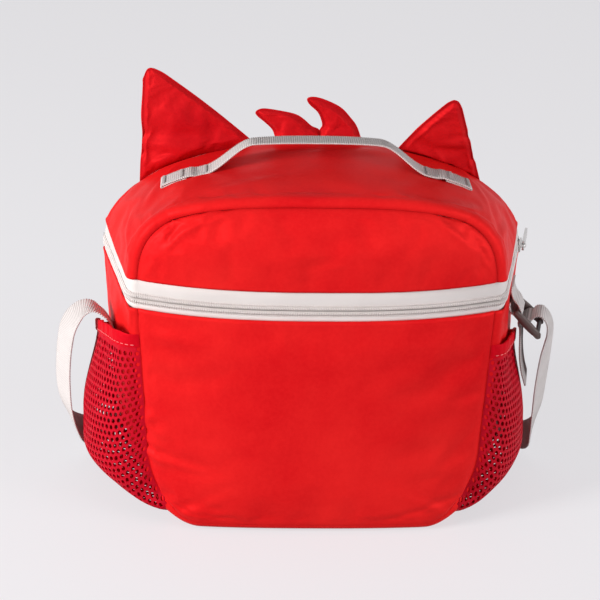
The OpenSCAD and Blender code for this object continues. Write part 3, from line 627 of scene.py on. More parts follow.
def newPiece(name, points, faces, uv=None):
    mesh = bpy.data.meshes.new(name)
    mesh.from_pydata(np.asarray(points, float).tolist(), [], faces)
    if uv is not None:
        mesh.uv_layers.new(name="clothMap").data.foreach_set("uv", np.asarray(uv, np.float32).ravel())
    return shown(bpy.data.objects.new(name, mesh))


# Waves of one height and length along a line, both in metres
def ripples(at, form, phase):
    height, length = form
    return height * np.sin(2 * math.pi * at / length + phase)


# A closed bar from rings of points, with its map along and round it
def ringPiece(name, rings, along, around):
    n, m = rings.shape[:2]
    faces, uv = [], []
    for i in range(n - 1):
        for j in range(m):
            k = (j + 1) % m
            faces.append([i * m + j, i * m + k, (i + 1) * m + k, (i + 1) * m + j])
            uv += [(along[i + a], around[j + b]) for a, b in ((0, 0), (0, 1), (1, 1), (1, 0))]
    for i, order in ((0, range(m - 1, -1, -1)), (n - 1, range(m))):
        faces.append([i * m + j for j in order])
        uv += [(along[i], around[j]) for j in order]
    piece = newPiece(name, rings.reshape(-1, 3), faces, uv)
    edited(piece, outward)
    smooth(piece, 50)
    return piece


# A smooth line through a route, with so many points from each of its points to the next
def splined(route, count):
    route = np.array(route, float)
    last = len(route) - 1
    out = []
    for i in range(last):
        a, b, c, d = route[max(0, i - 1)], route[i], route[i + 1], route[min(last, i + 2)]
        for t in np.arange(count) / count:
            out.append(b + 0.5 * t * (c - a + t * (2 * a - 5 * b + 4 * c - d + t * (3 * b - a - 3 * c + d))))
    return np.array(out + [route[-1]])


def lengths(line):
    return np.concatenate([[0], np.cumsum(np.linalg.norm(np.diff(line[:, :3], axis=0), axis=1))])


# Lengths round a closed profile
def girth(profile):
    profile = np.asarray(profile)
    return lengths(np.concatenate([profile, profile[:1]]))


# The same line with points one step apart, and their places along it
def evenly(line, step):
    size = lengths(line)
    at = np.linspace(0, size[-1], max(2, round(size[-1] / step)) + 1)
    return np.stack([np.interp(at, size, line[:, k]) for k in range(line.shape[1])], 1), at


webbing = {"width": 0.020, "thickness": 0.0015, "ribPitch": 0.0014, "ribDepth": 0.0004, "edgeWave": 0.00022}
upperProfile = [(-1, 0), (-0.985, 0.62), (-0.94, 0.95), (-0.5, 1), (0, 1), (0.5, 1), (0.94, 0.95), (0.985, 0.62)]
webbingProfile = upperProfile + [(-x, -z) for x, z in upperProfile]


# Webbing with ribs across it, along a middle line with its width direction
def ribbedBand(name, centre, wide):
    width = webbing["width"]
    line, at = evenly(np.concatenate([centre, wide], 1), webbing["ribPitch"] / 4)
    centre, wide = line[:, :3], line[:, 3:]
    along = headings(centre)
    wide = unit(wide - along * np.sum(wide * along, axis=1, keepdims=True))
    up = np.cross(along, wide)
    wave = np.cos(2 * math.pi * at / webbing["ribPitch"])
    half = width / 2 - webbing["edgeWave"] * (1 - wave)
    lift = webbing["thickness"] / 2 - webbing["ribDepth"] * (1 - wave) / 2
    across, out = np.array(webbingProfile).T
    rings = (centre[:, None] + wide[:, None] * (half[:, None] * across)[..., None]
             + up[:, None] * (lift[:, None] * out)[..., None])
    around = [s * width / 2 for s in across] + [-width / 2]
    return ringPiece(name, rings, at, around)


def headings(line):
    return unit(np.gradient(line, axis=0))


# Small stitches or teeth, all of one shape, each laid along its own line
def beads(name, centres, along, out, size):
    length, width, height = size
    turns = np.radians(np.arange(5) * 72)
    shape = [(t * length, math.cos(a) * width * r / 2, math.sin(a) * height * r / 2)
             for t, r in ((-0.5, 0.35), (-0.3, 1), (0.3, 1), (0.5, 0.35)) for a in turns]
    shape = np.array(shape)
    faces = []
    for i in range(3):
        for j in range(5):
            low, high, k = 5 * i, 5 * i + 5, (j + 1) % 5
            faces.append([low + j, low + k, high + k, high + j])
    faces += [[4, 3, 2, 1, 0], [15, 16, 17, 18, 19]]
    along = unit(along)
    out = unit(out - along * np.sum(out * along, axis=1, keepdims=True))
    side = np.cross(out, along)
    basis = np.stack([along, side, out], 1)
    points = centres[:, None] + np.einsum("pk,nkc->npc", shape, basis)
    every = [[20 * n + i for i in face] for n in range(len(centres)) for face in faces]
    piece = newPiece(name, points.reshape(-1, 3), every)
    edited(piece, outward)
    smooth(piece)
    return piece


# A smooth copy of a cast or moulded part, with its edges rounded
def castCopy(node, name, edgeRadius):
    source = bpy.data.objects[node]
    piece = shown(bpy.data.objects.new(name, source.data.copy()))
    for layer in [a.name for a in piece.data.attributes if a.name.startswith("custom")]:
        piece.data.attributes.remove(piece.data.attributes[layer])
    edited(piece, weld, ("dissolve_limited", {"angle_limit": math.radians(1)}))
    applied(piece, "BEVEL", width=edgeRadius, segments=3, limit_method="ANGLE", angle_limit=math.radians(35),
            use_clamp_overlap=True)
    smooth(piece, 40)
    return piece


# Shoulder strap: sewn to the left side, down and round behind the bag, up to the buckle
strapRoute = [
    [-131, 5, 108, 0, 0.2], [-132, 5, 114, 0, 0.2], [-134, 5, 120, 0, 0.2], [-138, 5, 126, 0, 0.25],
    [-145, 6, 130, 0, 0.35], [-152, 7, 128.5, 0, 0.45], [-158, 8, 122.5, 0, 0.55],
    [-162.5, 10, 113, 0, 0.6], [-165, 13, 100, 0, 0.6], [-166.5, 16, 84, 0, 0.6],
    [-166.8, 18, 68, 0.02, 0.6], [-165.5, 21, 52, 0.1, 0.5], [-162, 26, 38, 0.3, 0.4],
    [-156, 35, 26, 0.6, 0.3], [-149, 48, 17, 0.9, 0.2], [-143, 62, 11.8, 1, 0],
]
# Behind the bag it stands on its edge on the floor
strapRoute += [[x, y, 10.2, 1, 0] for x, y in (
    (-135, 79), (-124, 94), (-108, 108), (-86, 120), (-58, 129), (-28, 133), (2, 134), (34, 131), (62, 124),
    (87, 113), (108, 99), (126, 83))]
strapRoute += [
    [140, 67, 10.5, 1, 0], [148.5, 52, 13.5, 0.95, 0.2], [153, 40, 21, 0.75, 0.3], [155.5, 31, 34, 0.4, 0.4],
    [156.3, 25, 48, 0.15, 0.5], [156.6, 20, 66, 0.03, 0.55], [156.8, 14, 84, 0, 0.55],
    [157, 8, 100, 0, 0.5], [157.4, 3.5, 112, 0, 0.4], [157.2, 1, 120, 0, 0.3], [155.6, 0, 127, 0, 0.22],
    [151.8, 0.5, 131.6, 0, 0.2028], [147.8, 1.3, 131.5, 0, 0.2028],
]
lock = {"across": (0.12962, 0.005, 0.133), "turn": math.radians(11.4658), "tilt": math.radians(44), "reach": 7,
        "middleBar": (9.6, 0.4), "wrap": 2.55, "sideLean": 0.0583}


# A point [out, up] from where the loop is sewn, and one [along, proud] in the buckle's own lie, both in millimetres
def fromSide(out, up):
    x, y, z = (value * 1000 for value in lock["across"])
    turn = lock["turn"]
    return [x + out * math.cos(turn), y - out * math.sin(turn), z + up, 0, math.tan(turn)]


def onLock(along, proud):
    c, s = math.cos(lock["tilt"]), math.sin(lock["tilt"])
    return fromSide(lock["reach"] + along * c + proud * s, -along * s + proud * c)


# A point of the webbing where it wraps the buckle's middle bar
def roundBar(angle):
    a = math.radians(angle)
    x, z = lock["middleBar"]
    return onLock(x + lock["wrap"] * math.cos(a), z + lock["wrap"] * math.sin(a))


# The fourth number of a point stands the webbing on its edge, and the fifth leans its width outwards
def webbingAlong(name, route):
    line = splined(route, 8)
    stood, lean = line[:, 3:4], line[:, 4:5]
    wide = np.concatenate([np.sign(line[:, :1]) * lean * (1 - stood), 1 - stood, stood], 1)
    centre = line[:, :3] * mm
    return ribbedBand(name, centre, wide), centre


strapRoute += [roundBar(angle) for angle in (90, 120, 144, 150)]
shoulderStrap, strapLine = webbingAlong("shoulderStrap", strapRoute)
dressed(shoulderStrap, paleWebbing, "bag_body", "webbing", "shoulder_strap")

tailRoute = [roundBar(angle) for angle in (158, 164, 180)]
inner = lock["middleBar"][0] - lock["wrap"]
tailRoute += [onLock(inner - 0.4, -2), onLock(inner - 1.6, -4.4)]
tailRoute += [[x, y, z, 0, 0.2028] for x, y, z in (
    (138.6, 4, 121), (139.2, 4.6, 113), (139.6, 5.6, 105), (140.6, 7, 96), (142.4, 8.6, 87), (144.8, 10, 79))]
strapTail, _ = webbingAlong("strapTail", tailRoute)
dressed(strapTail, shadedWebbing, "bag_body", "webbing", "strap_tail")


# The sewn shell: faces, and the band round the sides with its rolled edges, and how strong and wide the painted shade
# in its seams is
shell = {"cloth": 0.0012, "hemProud": 0.0005, "pucker": 0.00035, "puff": 0.0007, "seamWidth": 0.0013,
         "seamDark": {False: 0.35, True: 0.9}, "slack": 0.006, "broadFold": 0.0006, "rollRise": 0.0011}
# Gathers lie in a strip along the seams: its middle and width, and the size of fine and broad ones
faceCloth = {"strip": (0.009, 0.007), "clear": 0.0024, "fine": 0.012, "broad": 0.05, "pinned": (0.0015, 0.004),
             "edgePin": 0.85, "nextPin": 0.4, "cap": 0.0045}
bandCloth = {"strip": (0.0055, 0.004), "clear": 0.0020, "fine": 0.010, "broad": 0.045, "pinned": (0.006, 0.006),
             "fineReach": 0.014, "broadFrom": 0.012, "broadLift": 0.0007, "fineShare": 1.3, "pressure": 0.8,
             "cap": 0.003, "rest": (0.004, 0.010), "restPin": (0.006, 0.012), "floor": 0.00005}


# How far each point lies from the first and last rows and columns that are seams
def seamDistance(p, sides=(True, True, True, True)):
    rows, cols = p.shape[:2]
    far = np.full((rows, cols), 1.0)
    for on, edge in zip(sides, (p[:1], p[-1:], p[:, :1], p[:, -1:])):
        if on:
            far = np.minimum(far, np.linalg.norm(p - edge, axis=2))
    return far


# Small uneven waves, as where cloth is drawn into a seam
def gathers(p, pitch, seed):
    points = p.reshape(-1, 3)
    broad, fine = waves(points, pitch, seed), waves(points, pitch * 0.45, seed + 1)
    return (0.6 * broad + 0.4 * fine).reshape(p.shape[:2])


# Painted shade: cloth is darker in its seams, where shade falls
def seamed(far, isLid):
    return {"seam": shell["seamDark"][isLid] * bell(far, shell["seamWidth"])}


# How firmly the cloth is held, from 1 at a seam to 0 away from it
def pinned(far, form):
    start, width = form["pinned"]
    return np.clip(1 - (far - start) / width, 0, 1)


def strip(far, form):
    middle, width = form["strip"]
    return bell(far - middle, width)


# Folds, a finer mesh, the cloth's thickness and its colour
def clothed(piece, folds, lowest=None):
    creased(piece, folds)
    subdivided(piece)
    if lowest is not None:
        co = coordinates(piece)
        co[:, 2] = np.maximum(co[:, 2], lowest)
        setCoordinates(piece, co)
    thickened(piece, shell["cloth"])
    smooth(piece)
    painted(piece, redSatin)


def shellFace(name, isLid, front, edge, pressure, folds, seed):
    p = facePoints(isLid, front, 0, edge, faceAcross, faceDown)
    n = surfaceNormals(p)
    far = seamDistance(p, (False, True, True, True))
    clear = 1 - bell(far, faceCloth["clear"])
    lift = (shell["puff"] + shell["pucker"] * gathers(p, faceCloth["fine"], seed) * strip(far, faceCloth)
            + shell["broadFold"] * gathers(p, faceCloth["broad"], seed + 5))
    p = p + n * (clear * lift)[..., None]
    piece = clothGrid(name, p, seamed(far, isLid))
    pins = pinned(far, faceCloth)
    pins[0] = np.maximum(pins[0], faceCloth["edgePin"])
    pins[1] = np.maximum(pins[1], faceCloth["nextPin"])
    inflated(piece, pins.ravel(), pressure, shell["slack"], faceCloth["cap"])
    clothed(piece, folds)
    return piece


bodyBackFace = shellFace("bodyBackFace", False, False, bag["bodyEdge"], 1.2, [
    [-0.107, -0.053, 0.078, (1, 0, -0.6), 0.016, 0.0021, 0.0024],
    [-0.106, -0.053, 0.071, (1, 0, -0.45), 0.018, 0.0020, 0.0023],
    [-0.108, -0.053, 0.061, (1, 0, -0.3), 0.013, 0.0018, 0.0018],
    [-0.097, -0.056, 0.049, (1, 0, -0.17), 0.026, 0.0026, 0.0024],
    [-0.106, -0.052, 0.141, (1, 0, -0.1), 0.022, 0.0024, 0.0022],
    [-0.104, -0.052, 0.134, (1, 0, 0.25), 0.012, 0.0020, 0.0010],
    [0.098, -0.052, 0.128, (1, 0, 0.2), 0.016, 0.0020, 0.0008],
    [0.100, -0.052, 0.092, (1, 0, 0), 0.014, 0.0018, 0.0007],
    [-0.070, -0.060, 0.020, (0.8, 0, 0.5), 0.020, 0.0030, 0.0009],
    [0.072, -0.060, 0.022, (0.8, 0, -0.5), 0.020, 0.0030, 0.0009],
    [0.030, -0.066, 0.146, (1, 0, 0.05), 0.040, 0.0030, 0.0006],
], 21)
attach(bodyBackFace, "bag_body")
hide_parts("body_back_panel")

lidBackFace = shellFace("lidBackFace", True, False, bag["lidEdge"], 1.0, [
    [-0.086, -0.053, 0.206, (0.7, 0.2, 0.6), 0.014, 0.0020, 0.0012],
    [-0.074, -0.053, 0.214, (0.8, 0.2, 0.5), 0.014, 0.0020, 0.0012],
    [-0.060, -0.055, 0.219, (0.9, 0.1, 0.3), 0.014, 0.0018, 0.0009],
    [0.078, -0.053, 0.212, (0.8, -0.2, -0.5), 0.015, 0.0022, 0.0011],
    [0.020, -0.062, 0.200, (1, 0, 0.1), 0.050, 0.0050, 0.0007],
], 31)
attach(lidBackFace, "lid")
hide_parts("lid_back_panel")

bodyFrontFace = shellFace("bodyFrontFace", False, True, bag["zipHeight"], 1.0, [
    [-0.110, 0.058, 0.110, (1, 0, 0.1), 0.018, 0.0022, 0.0009],
    [0.112, 0.058, 0.095, (1, 0, -0.1), 0.018, 0.0022, 0.0009],
    [0.000, 0.066, 0.146, (1, 0, 0), 0.060, 0.0050, 0.0008],
], 41)
lidFrontFace = shellFace("lidFrontFace", True, True, bag["zipHeight"] + 0.00005, 1.0, [
    [-0.080, 0.050, 0.205, (0.8, 0, 0.5), 0.018, 0.0022, 0.0010],
    [0.082, 0.050, 0.204, (0.8, 0, -0.5), 0.018, 0.0022, 0.0010],
], 51)
for piece, node in ((bodyFrontFace, "body_front_panel"), (lidFrontFace, "lid_front_panel")):
    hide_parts(node)
    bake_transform(piece, "bag_body", "lid", hingeStart, hingeEnd)
print("faces made")


def sideBand(name, isLid, edge, folds, seed, body, node):
    along = gussetAlong(isLid)
    p = gussetPoints(isLid, 0, edge, along, gussetAcross)
    n = surfaceNormals(p)
    far = seamDistance(p, (False, False, True, True))
    count = np.arange(len(along))[:, None]
    hem = np.minimum(count, count[::-1]) < 1
    clear = 1 - bell(far, bandCloth["clear"])
    small = (shell["pucker"] * bandCloth["fineShare"] * gathers(p, bandCloth["fine"], seed)
             * bell(far, bandCloth["fineReach"]))
    broad = (bandCloth["broadLift"] * gathers(p, bandCloth["broad"], seed + 3)
             * (1 - bell(far, bandCloth["broadFrom"])))
    lift = clear * (shell["rollRise"] * strip(far, bandCloth) + small + broad + shell["hemProud"] * hem)
    start, over = bandCloth["rest"]
    p = p + n * (lift * ease((p[..., 2] - start) / over))[..., None]
    if not isLid:
        p[..., 2] = np.maximum(p[..., 2], 0)
    piece = clothGrid(name, p, seamed(far, isLid))
    start, over = bandCloth["restPin"]
    pins = np.maximum(pinned(far, bandCloth), 1 - ease((p[..., 2] - start) / over))
    pins[:1] = pins[-1:] = 1
    pins[1] = pins[-2] = np.maximum(pins[1], 0.5)
    inflated(piece, pins.ravel(), bandCloth["pressure"], shell["slack"], bandCloth["cap"])
    clothed(piece, folds, bandCloth["floor"])
    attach(piece, body)
    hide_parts(node)
    return piece


bodySideBand = sideBand("bodySideBand", False, bag["bodyEdge"], [
    [-0.132, -0.020, 0.140, (0, 0.6, -0.8), 0.020, 0.0030, 0.0014],
    [-0.134, 0.020, 0.138, (0, 0.7, 0.6), 0.020, 0.0030, 0.0014],
    [0.132, -0.022, 0.138, (0, 0.7, 0.7), 0.018, 0.0028, 0.0013],
    [0.136, 0.030, 0.135, (0, 0.7, -0.7), 0.020, 0.0030, 0.0014],
    [-0.120, -0.046, 0.142, (0.2, 0.5, -0.7), 0.010, 0.0018, 0.0011],
], 61, "bag_body", "body_gusset")
lidSideBand = sideBand("lidSideBand", True, bag["lidEdge"], [
    [-0.118, -0.020, 0.196, (0, 1, 0.3), 0.024, 0.0032, 0.0014],
    [-0.100, 0.010, 0.214, (0.3, 1, 0.3), 0.026, 0.0035, 0.0014],
    [0.120, -0.016, 0.196, (0, 1, -0.3), 0.024, 0.0032, 0.0013],
    [0.104, 0.014, 0.212, (0.3, -1, 0.1), 0.024, 0.0034, 0.0013],
    [0.000, 0.028, 0.231, (1, 0.1, 0), 0.060, 0.0050, 0.0010],
    [-0.050, -0.030, 0.229, (1, 0.3, 0), 0.030, 0.0040, 0.0009],
], 71, "lid", "lid_gusset")
print("side bands made")


# Lining, with bound rims
lining = {"inset": 0.0064, "rim": {False: 0.1525, True: 0.1755}, "front": {False: 0.1595, True: 0.1625},
          "outer": 0.0014, "round": 0.0016, "piping": 0.0012, "film": 0.0005, "tape": 0.0004, "gather": 0.03,
          "smooth": 0.006, "end": 0.975, "pipeStep": 0.004}
nearRoll = bag["rollRun"] * (1 - np.cos(np.radians(np.linspace(90, 0, 12))))
zipStations = np.concatenate([np.linspace(1, bag["rollRun"], 48)[:-1], nearRoll])


# The line at height z and inset d round three sides, from the front right to the front left
def zipLine(z, d, end):
    v = np.concatenate([[end], zipStations[zipStations < end - 0.004]])
    side = bodySide if z <= bag["zipHeight"] else lidSide
    right = np.stack([side(z, v, d), gussetDepth(v, 1, 0, 0, d), np.full_like(v, z)], 1)
    a = np.linspace(1, -1, 121)[1:-1]
    y = d - halfDepth + setback(a, 0, bag["backCrown"], 0)
    back = np.stack([right[-1, 0] * a, y, np.full_like(a, z)], 1)
    return np.concatenate([right, back, right[::-1] * [-1, 1, 1]])


def liningOf(name, isLid, body, *nodes):
    d, rim, front, sign = lining["inset"], lining["rim"][isLid], lining["front"][isLid], -1 if isLid else 1
    aa, bb = faceAcross[::2], faceDown[::2]
    along, across = gussetAlong(isLid)[::2], gussetAcross[::2]
    parts = []
    for k, (grid, texture) in enumerate((
            (gussetPoints(isLid, d, rim, along, across), 0.0005),
            (facePoints(isLid, False, d, rim, aa, bb), 0.0006),
            (facePoints(isLid, True, d, front, aa, bb), 0.0006))):
        n = surfaceNormals(grid)
        away = 1 - bell(seamDistance(grid), lining["smooth"])
        grid = grid + n * (texture * gathers(grid, lining["gather"], 81 + k) * away)[..., None]
        part = clothGrid(f"{name}{k}", grid, outwards=False)
        subdivided(part)
        thickened(part, lining["film"])
        parts.append(painted(part, innerFilm))
    turn = np.linspace(0, math.pi, 9)
    insets = lerp(lining["outer"], d + 0.0003, (1 - np.cos(turn)) / 2)
    lifts = sign * lining["round"] * np.sin(turn)
    bound = np.stack([zipLine(rim + lift, i, lining["end"]) for lift, i in zip(lifts, insets)], 0)
    a = np.linspace(-1, 1, 97)
    half = float((lidSide if isLid else bodySide)(front, 1.0, d))
    y = halfDepth - setback(a, 0, bag["frontCrown"], 0)
    edge = np.stack([np.stack([half * a, y - i, np.full_like(a, front + 0.6 * lift)], 1)
                     for lift, i in zip(lifts, insets)], 0)
    for k, grid in enumerate((bound, edge)):
        part = clothGrid(f"{name}Rim{k}", grid)
        thickened(part, lining["tape"])
        parts.append(painted(part, bindingTape))
    for k, column in enumerate((0, -1)):
        line = gussetPoints(isLid, d + lining["tape"], rim, along, across)[:, column]
        line, at = evenly(line, lining["pipeStep"])
        tangent = headings(line)
        first = unit(np.cross(tangent, np.broadcast_to([0, 1, 0], tangent.shape)))
        second = np.cross(tangent, first)
        turns = np.radians(np.arange(0, 360, 45))[:, None]
        circle = first[:, None] * np.cos(turns) + second[:, None] * np.sin(turns)
        rings = line[:, None] + lining["piping"] * circle
        parts.append(painted(ringPiece(f"{name}Pipe{k}", rings, at, [mm * k for k in range(9)]), bindingTape))
    piece = joined(parts, name)
    smooth(piece, 50)
    return dressed(piece, None, body, "liner", *nodes)


bodyLining = liningOf("bodyLining", False, "bag_body", "body_back_foam", "body_front_foam", "body_gusset_foam",
                      "body_back_liner", "body_front_liner", "body_gusset_liner")
lidLining = liningOf("lidLining", True, "lid", "lid_back_foam", "lid_front_foam", "lid_gusset_foam",
                     "lid_back_liner", "lid_front_liner", "lid_gusset_liner")
hinge = {"half": 0.133, "share": 0.93, "inset": 0.0068, "low": 0.1552, "high": 0.1668}
a, z = np.meshgrid(np.linspace(-hinge["share"], hinge["share"], 81), np.linspace(hinge["low"], hinge["high"], 13))
flap = np.stack([a * hinge["half"], halfDepth - hinge["inset"] - setback(a, 0, bag["frontCrown"], 0), z], -1)
hingeFlap = clothGrid("hingeFlap", flap, outwards=False)
thickened(hingeFlap, lining["film"])
smooth(hingeFlap)
painted(hingeFlap, innerFilm)
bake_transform(hingeFlap, "bag_body", "lid", hingeStart, hingeEnd)
print("lining made")


# Zip: two rows of coil on their tapes
zipParts = {"tapeEnd": 0.985, "chainEnd": 0.93, "rowNear": 0.00012, "rowFar": 0.0031, "rowThick": 0.0022,
            "middle": 0.00075, "toothPitch": 0.0015, "sewnPitch": 0.0016, "tapeThick": 0.0009,
            "tapeIn": 0.0004, "hem": 0.0008, "clear": 0.00005, "broad": (0.00035, 0.030), "fine": (0.00015, 0.009),
            "tooth": (0.0017, 0.00085, 0.00075), "stitch": (0.00115, 0.0008, 0.0007)}
# How far the tape bows inwards, from its coil to its sewn edge: [share of its width, metres]
tapeBow = [(0, 0.0003), (0.04, 0.00012), (0.2, 0), (0.4, -0.0001), (0.6, -0.0001), (0.8, 0.0002), (0.93, 0.0006),
           (1, 0.0010)]


# A bar along the zip from a profile of [inset, height]
def bandFrom(name, profile, end):
    lines = np.stack([zipLine(z, d, end) for d, z in profile], 1)
    at = lengths(lines[:, 0])
    return ringPiece(name, lines, at, girth(profile))


def tapeOf(name, sign, width, body, node, seed):
    near = bag["zipHeight"] + sign * (zipParts["rowFar"] + zipParts["clear"])
    far = bag["zipHeight"] + sign * (width + zipParts["hem"])
    outer = [(zipParts["tapeIn"] + bow, lerp(near, far, share)) for share, bow in tapeBow]
    inner = [(d + zipParts["tapeThick"], z) for d, z in outer[::-1]]
    piece = bandFrom(name, outer + inner, zipParts["tapeEnd"])
    co, n = coordinates(piece), vertexNormals(piece)
    level = np.stack([n[:, 0], n[:, 1], np.zeros(len(n))], 1)
    (broad, broadSize), (fine, fineSize) = zipParts["broad"], zipParts["fine"]
    co += level * (broad * waves(co, broadSize, seed) + fine * waves(co, fineSize, seed + 1))[:, None]
    setCoordinates(piece, co)
    return dressed(piece, tapeTwill, body, "zip_tape", node)


# The way out of the bag, square to a line that runs level round it
def outOf(line):
    out = np.cross(headings(line), np.broadcast_to([0, 0, -1.0], line.shape))
    return out * np.where(np.sum(out * (line - bagCentre), axis=1, keepdims=True) > 0, 1, -1)


def chainRow(name, sign, body, node):
    centre = bag["zipHeight"] + sign * (zipParts["rowNear"] + zipParts["rowFar"]) / 2
    high, thick = (zipParts["rowFar"] - zipParts["rowNear"]) / 2, zipParts["rowThick"] / 2
    turns = np.radians(np.arange(0, 360, 36) + 18)
    profile = [(zipParts["middle"] - thick * math.copysign(abs(math.cos(t)) ** 0.7, math.cos(t)),
                centre + high * math.sin(t)) for t in turns]
    ridge = bandFrom(name, profile, zipParts["chainEnd"])
    # The coil ridge carries painted shade for the groove between the tapes
    painted(ridge, shadedCoilNylon)
    proud = zipParts["middle"] - thick - zipParts["clear"]
    level = centre - sign * zipParts["clear"]
    line, _ = evenly(zipLine(level, proud, zipParts["chainEnd"]), zipParts["toothPitch"])
    line = line[:-1] + np.diff(line, axis=0) / 2
    lie = headings(line) * 0.45 + np.array([0, 0, sign * 1.0])
    teeth = beads(f"{name}Stitches", line, lie, outOf(line), zipParts["tooth"])
    painted(teeth, stitchThread)
    # The row is sewn to its tape along its outer edge
    level = bag["zipHeight"] + sign * (zipParts["rowFar"] + 0.0003)
    line, _ = evenly(zipLine(level, 0.0001, zipParts["chainEnd"]), zipParts["sewnPitch"])
    stitches = beads(f"{name}Sewing", line, headings(line), outOf(line), zipParts["stitch"])
    painted(stitches, stitchThread)
    piece = joined([ridge, teeth, stitches], name)
    return dressed(piece, None, body, "zip_coil", node)


zipTapeLower = tapeOf("zipTapeLower", -1, 0.007, "bag_body", "zip_tape_lower", 91)
zipTapeUpper = tapeOf("zipTapeUpper", 1, 0.013, "lid", "zip_tape_upper", 95)
zipRowLower = chainRow("zipRowLower", -1, "bag_body", "zip_coil_lower")
zipRowUpper = chainRow("zipRowUpper", 1, "lid", "zip_coil_upper")
for node, name, edge, body in (
        ("zip_slider", "zipSlider", 0.00022, "slider"), ("zip_pull", "zipPull", 0.0003, "pull"),
        ("zip_stops_lower", "zipStopsLower", 0.0003, "bag_body"), ("zip_stops_upper", "zipStopsUpper", 0.0003, "lid")):
    dressed(castCopy(node, name, edge), zipMetal, body, "zip_metal", node)
print("zip made")


# Side pockets: a gathered net with a bound hem
pocket = {"foot": 0.007, "footLift": 1.8, "swell": 0.45, "turn": 0.24, "gap": 0.0006, "hem": 0.010,
          "hemThick": 0.0016, "pitch": 0.0048, "hole": 0.00155, "net": 0.0009, "border": 0.0022,
          "fall": 1.8, "dip": 0.002, "narrows": 0.4, "stitch": (0.0027, 0.0006, 0.0005), "stitchPitch": 0.004,
          "ripple": (0.0006, 0.019), "broad": (0.0011, 0.05), "ruffle": (0.0004, 0.015), "fineRuffle": (0.0002, 0.0057),
          "mouthWave": (0.0005, 0.019)}
# The mouth runs from its height at the near seam down to the far one, and dips between them
pocketForm = {-1: {"near": 0.136, "far": 0.096, "bulge": 0.027, "mouth": 0.42},
              1: {"near": 0.130, "far": 0.092, "bulge": 0.0185, "mouth": 0.25}}


# Depth of the sewn edges and what lies between them, at height z on the body's side
def sideDepth(z, v):
    corner = bag["cornerHeight"] - tuck(v)
    turned = np.arcsin(np.clip(1 - (z - tuck(v)) / corner, 0, 1)) / (math.pi / 2)
    share = (outlineSteps["side"] + outlineSteps["corner"] * turned) / bodySteps
    a = np.minimum(1, (1 - 2 * share) / (1 - 2 * cornerShare[False]))
    return gussetDepth(v, a, 1, bag["baseSetback"])


# Share of the wall's height at which the net ends and the hem begins
def hemShare(side):
    return 1 - pocket["hem"] / (pocketForm[side]["near"] - pocket["foot"])


# A pocket's wall: s from the near seam to the far one, h from the foot to the mouth
def pocketPoints(side, s, h, out=0.0):
    form = pocketForm[side]
    v = (1 - np.cos(math.pi * s)) / 2
    low = np.sqrt(1 - (1 - np.clip(h / pocket["turn"], 0, 1)) ** 2)
    full = np.sin(math.pi * v).clip(0) ** pocket["swell"] * low
    full = full * lerp(1, form["mouth"], ease((h - pocket["narrows"]) / (1 - pocket["narrows"])))
    mouth = lerp(form["near"], form["far"], v ** pocket["fall"]) - pocket["dip"] * np.sin(math.pi * v)
    z = lerp(pocket["foot"] + pocket["footLift"] * tuck(v), mouth, h)
    hollow = np.where(z < bag["cornerHeight"], bodySide(bag["cornerHeight"], v) - bodySide(z, v), 0)
    x = bodySide(z, v) + pocket["gap"] + full * (form["bulge"] + hollow) + out
    return np.stack([side * x, sideDepth(z, v), z], -1)


# Values between those of a table, at shares of its rows and columns
def sampled(table, rows, columns):
    y, x = rows * (table.shape[0] - 1), columns * (table.shape[1] - 1)
    i, j = (np.minimum(t.astype(int), size - 2) for t, size in zip((y, x), table.shape))
    fy, fx = y - i, x - j
    return lerp(lerp(table[i, j], table[i, j + 1], fx), lerp(table[i + 1, j], table[i + 1, j + 1], fx), fy)


# How big the net is when it lies flat, and where a point of it goes, by its real lengths
def netLayout(side):
    shares = np.linspace(0, 1, 161)
    top = hemShare(side)
    s, h = np.meshgrid(shares, shares * top)
    p = pocketPoints(side, s, h)
    across, up = arcs(p, 1), arcs(p, 0)
    size = (float(across[60, -1]), float(up[-1].mean()))
    across, up = across / across[:, -1:], up / up[-1:]
    sideways = np.stack([np.interp(shares, row, shares) for row in across])
    upwards = np.stack([np.interp(shares, column, shares) for column in up.T], 1)

    def laid(flat):
        u, w = flat[:, 0] / size[0], flat[:, 1] / size[1]
        s, h = u, w
        for _ in range(4):
            h = sampled(upwards, w, s)
            s = sampled(sideways, h, u)
        return s, h * top
    return size, laid


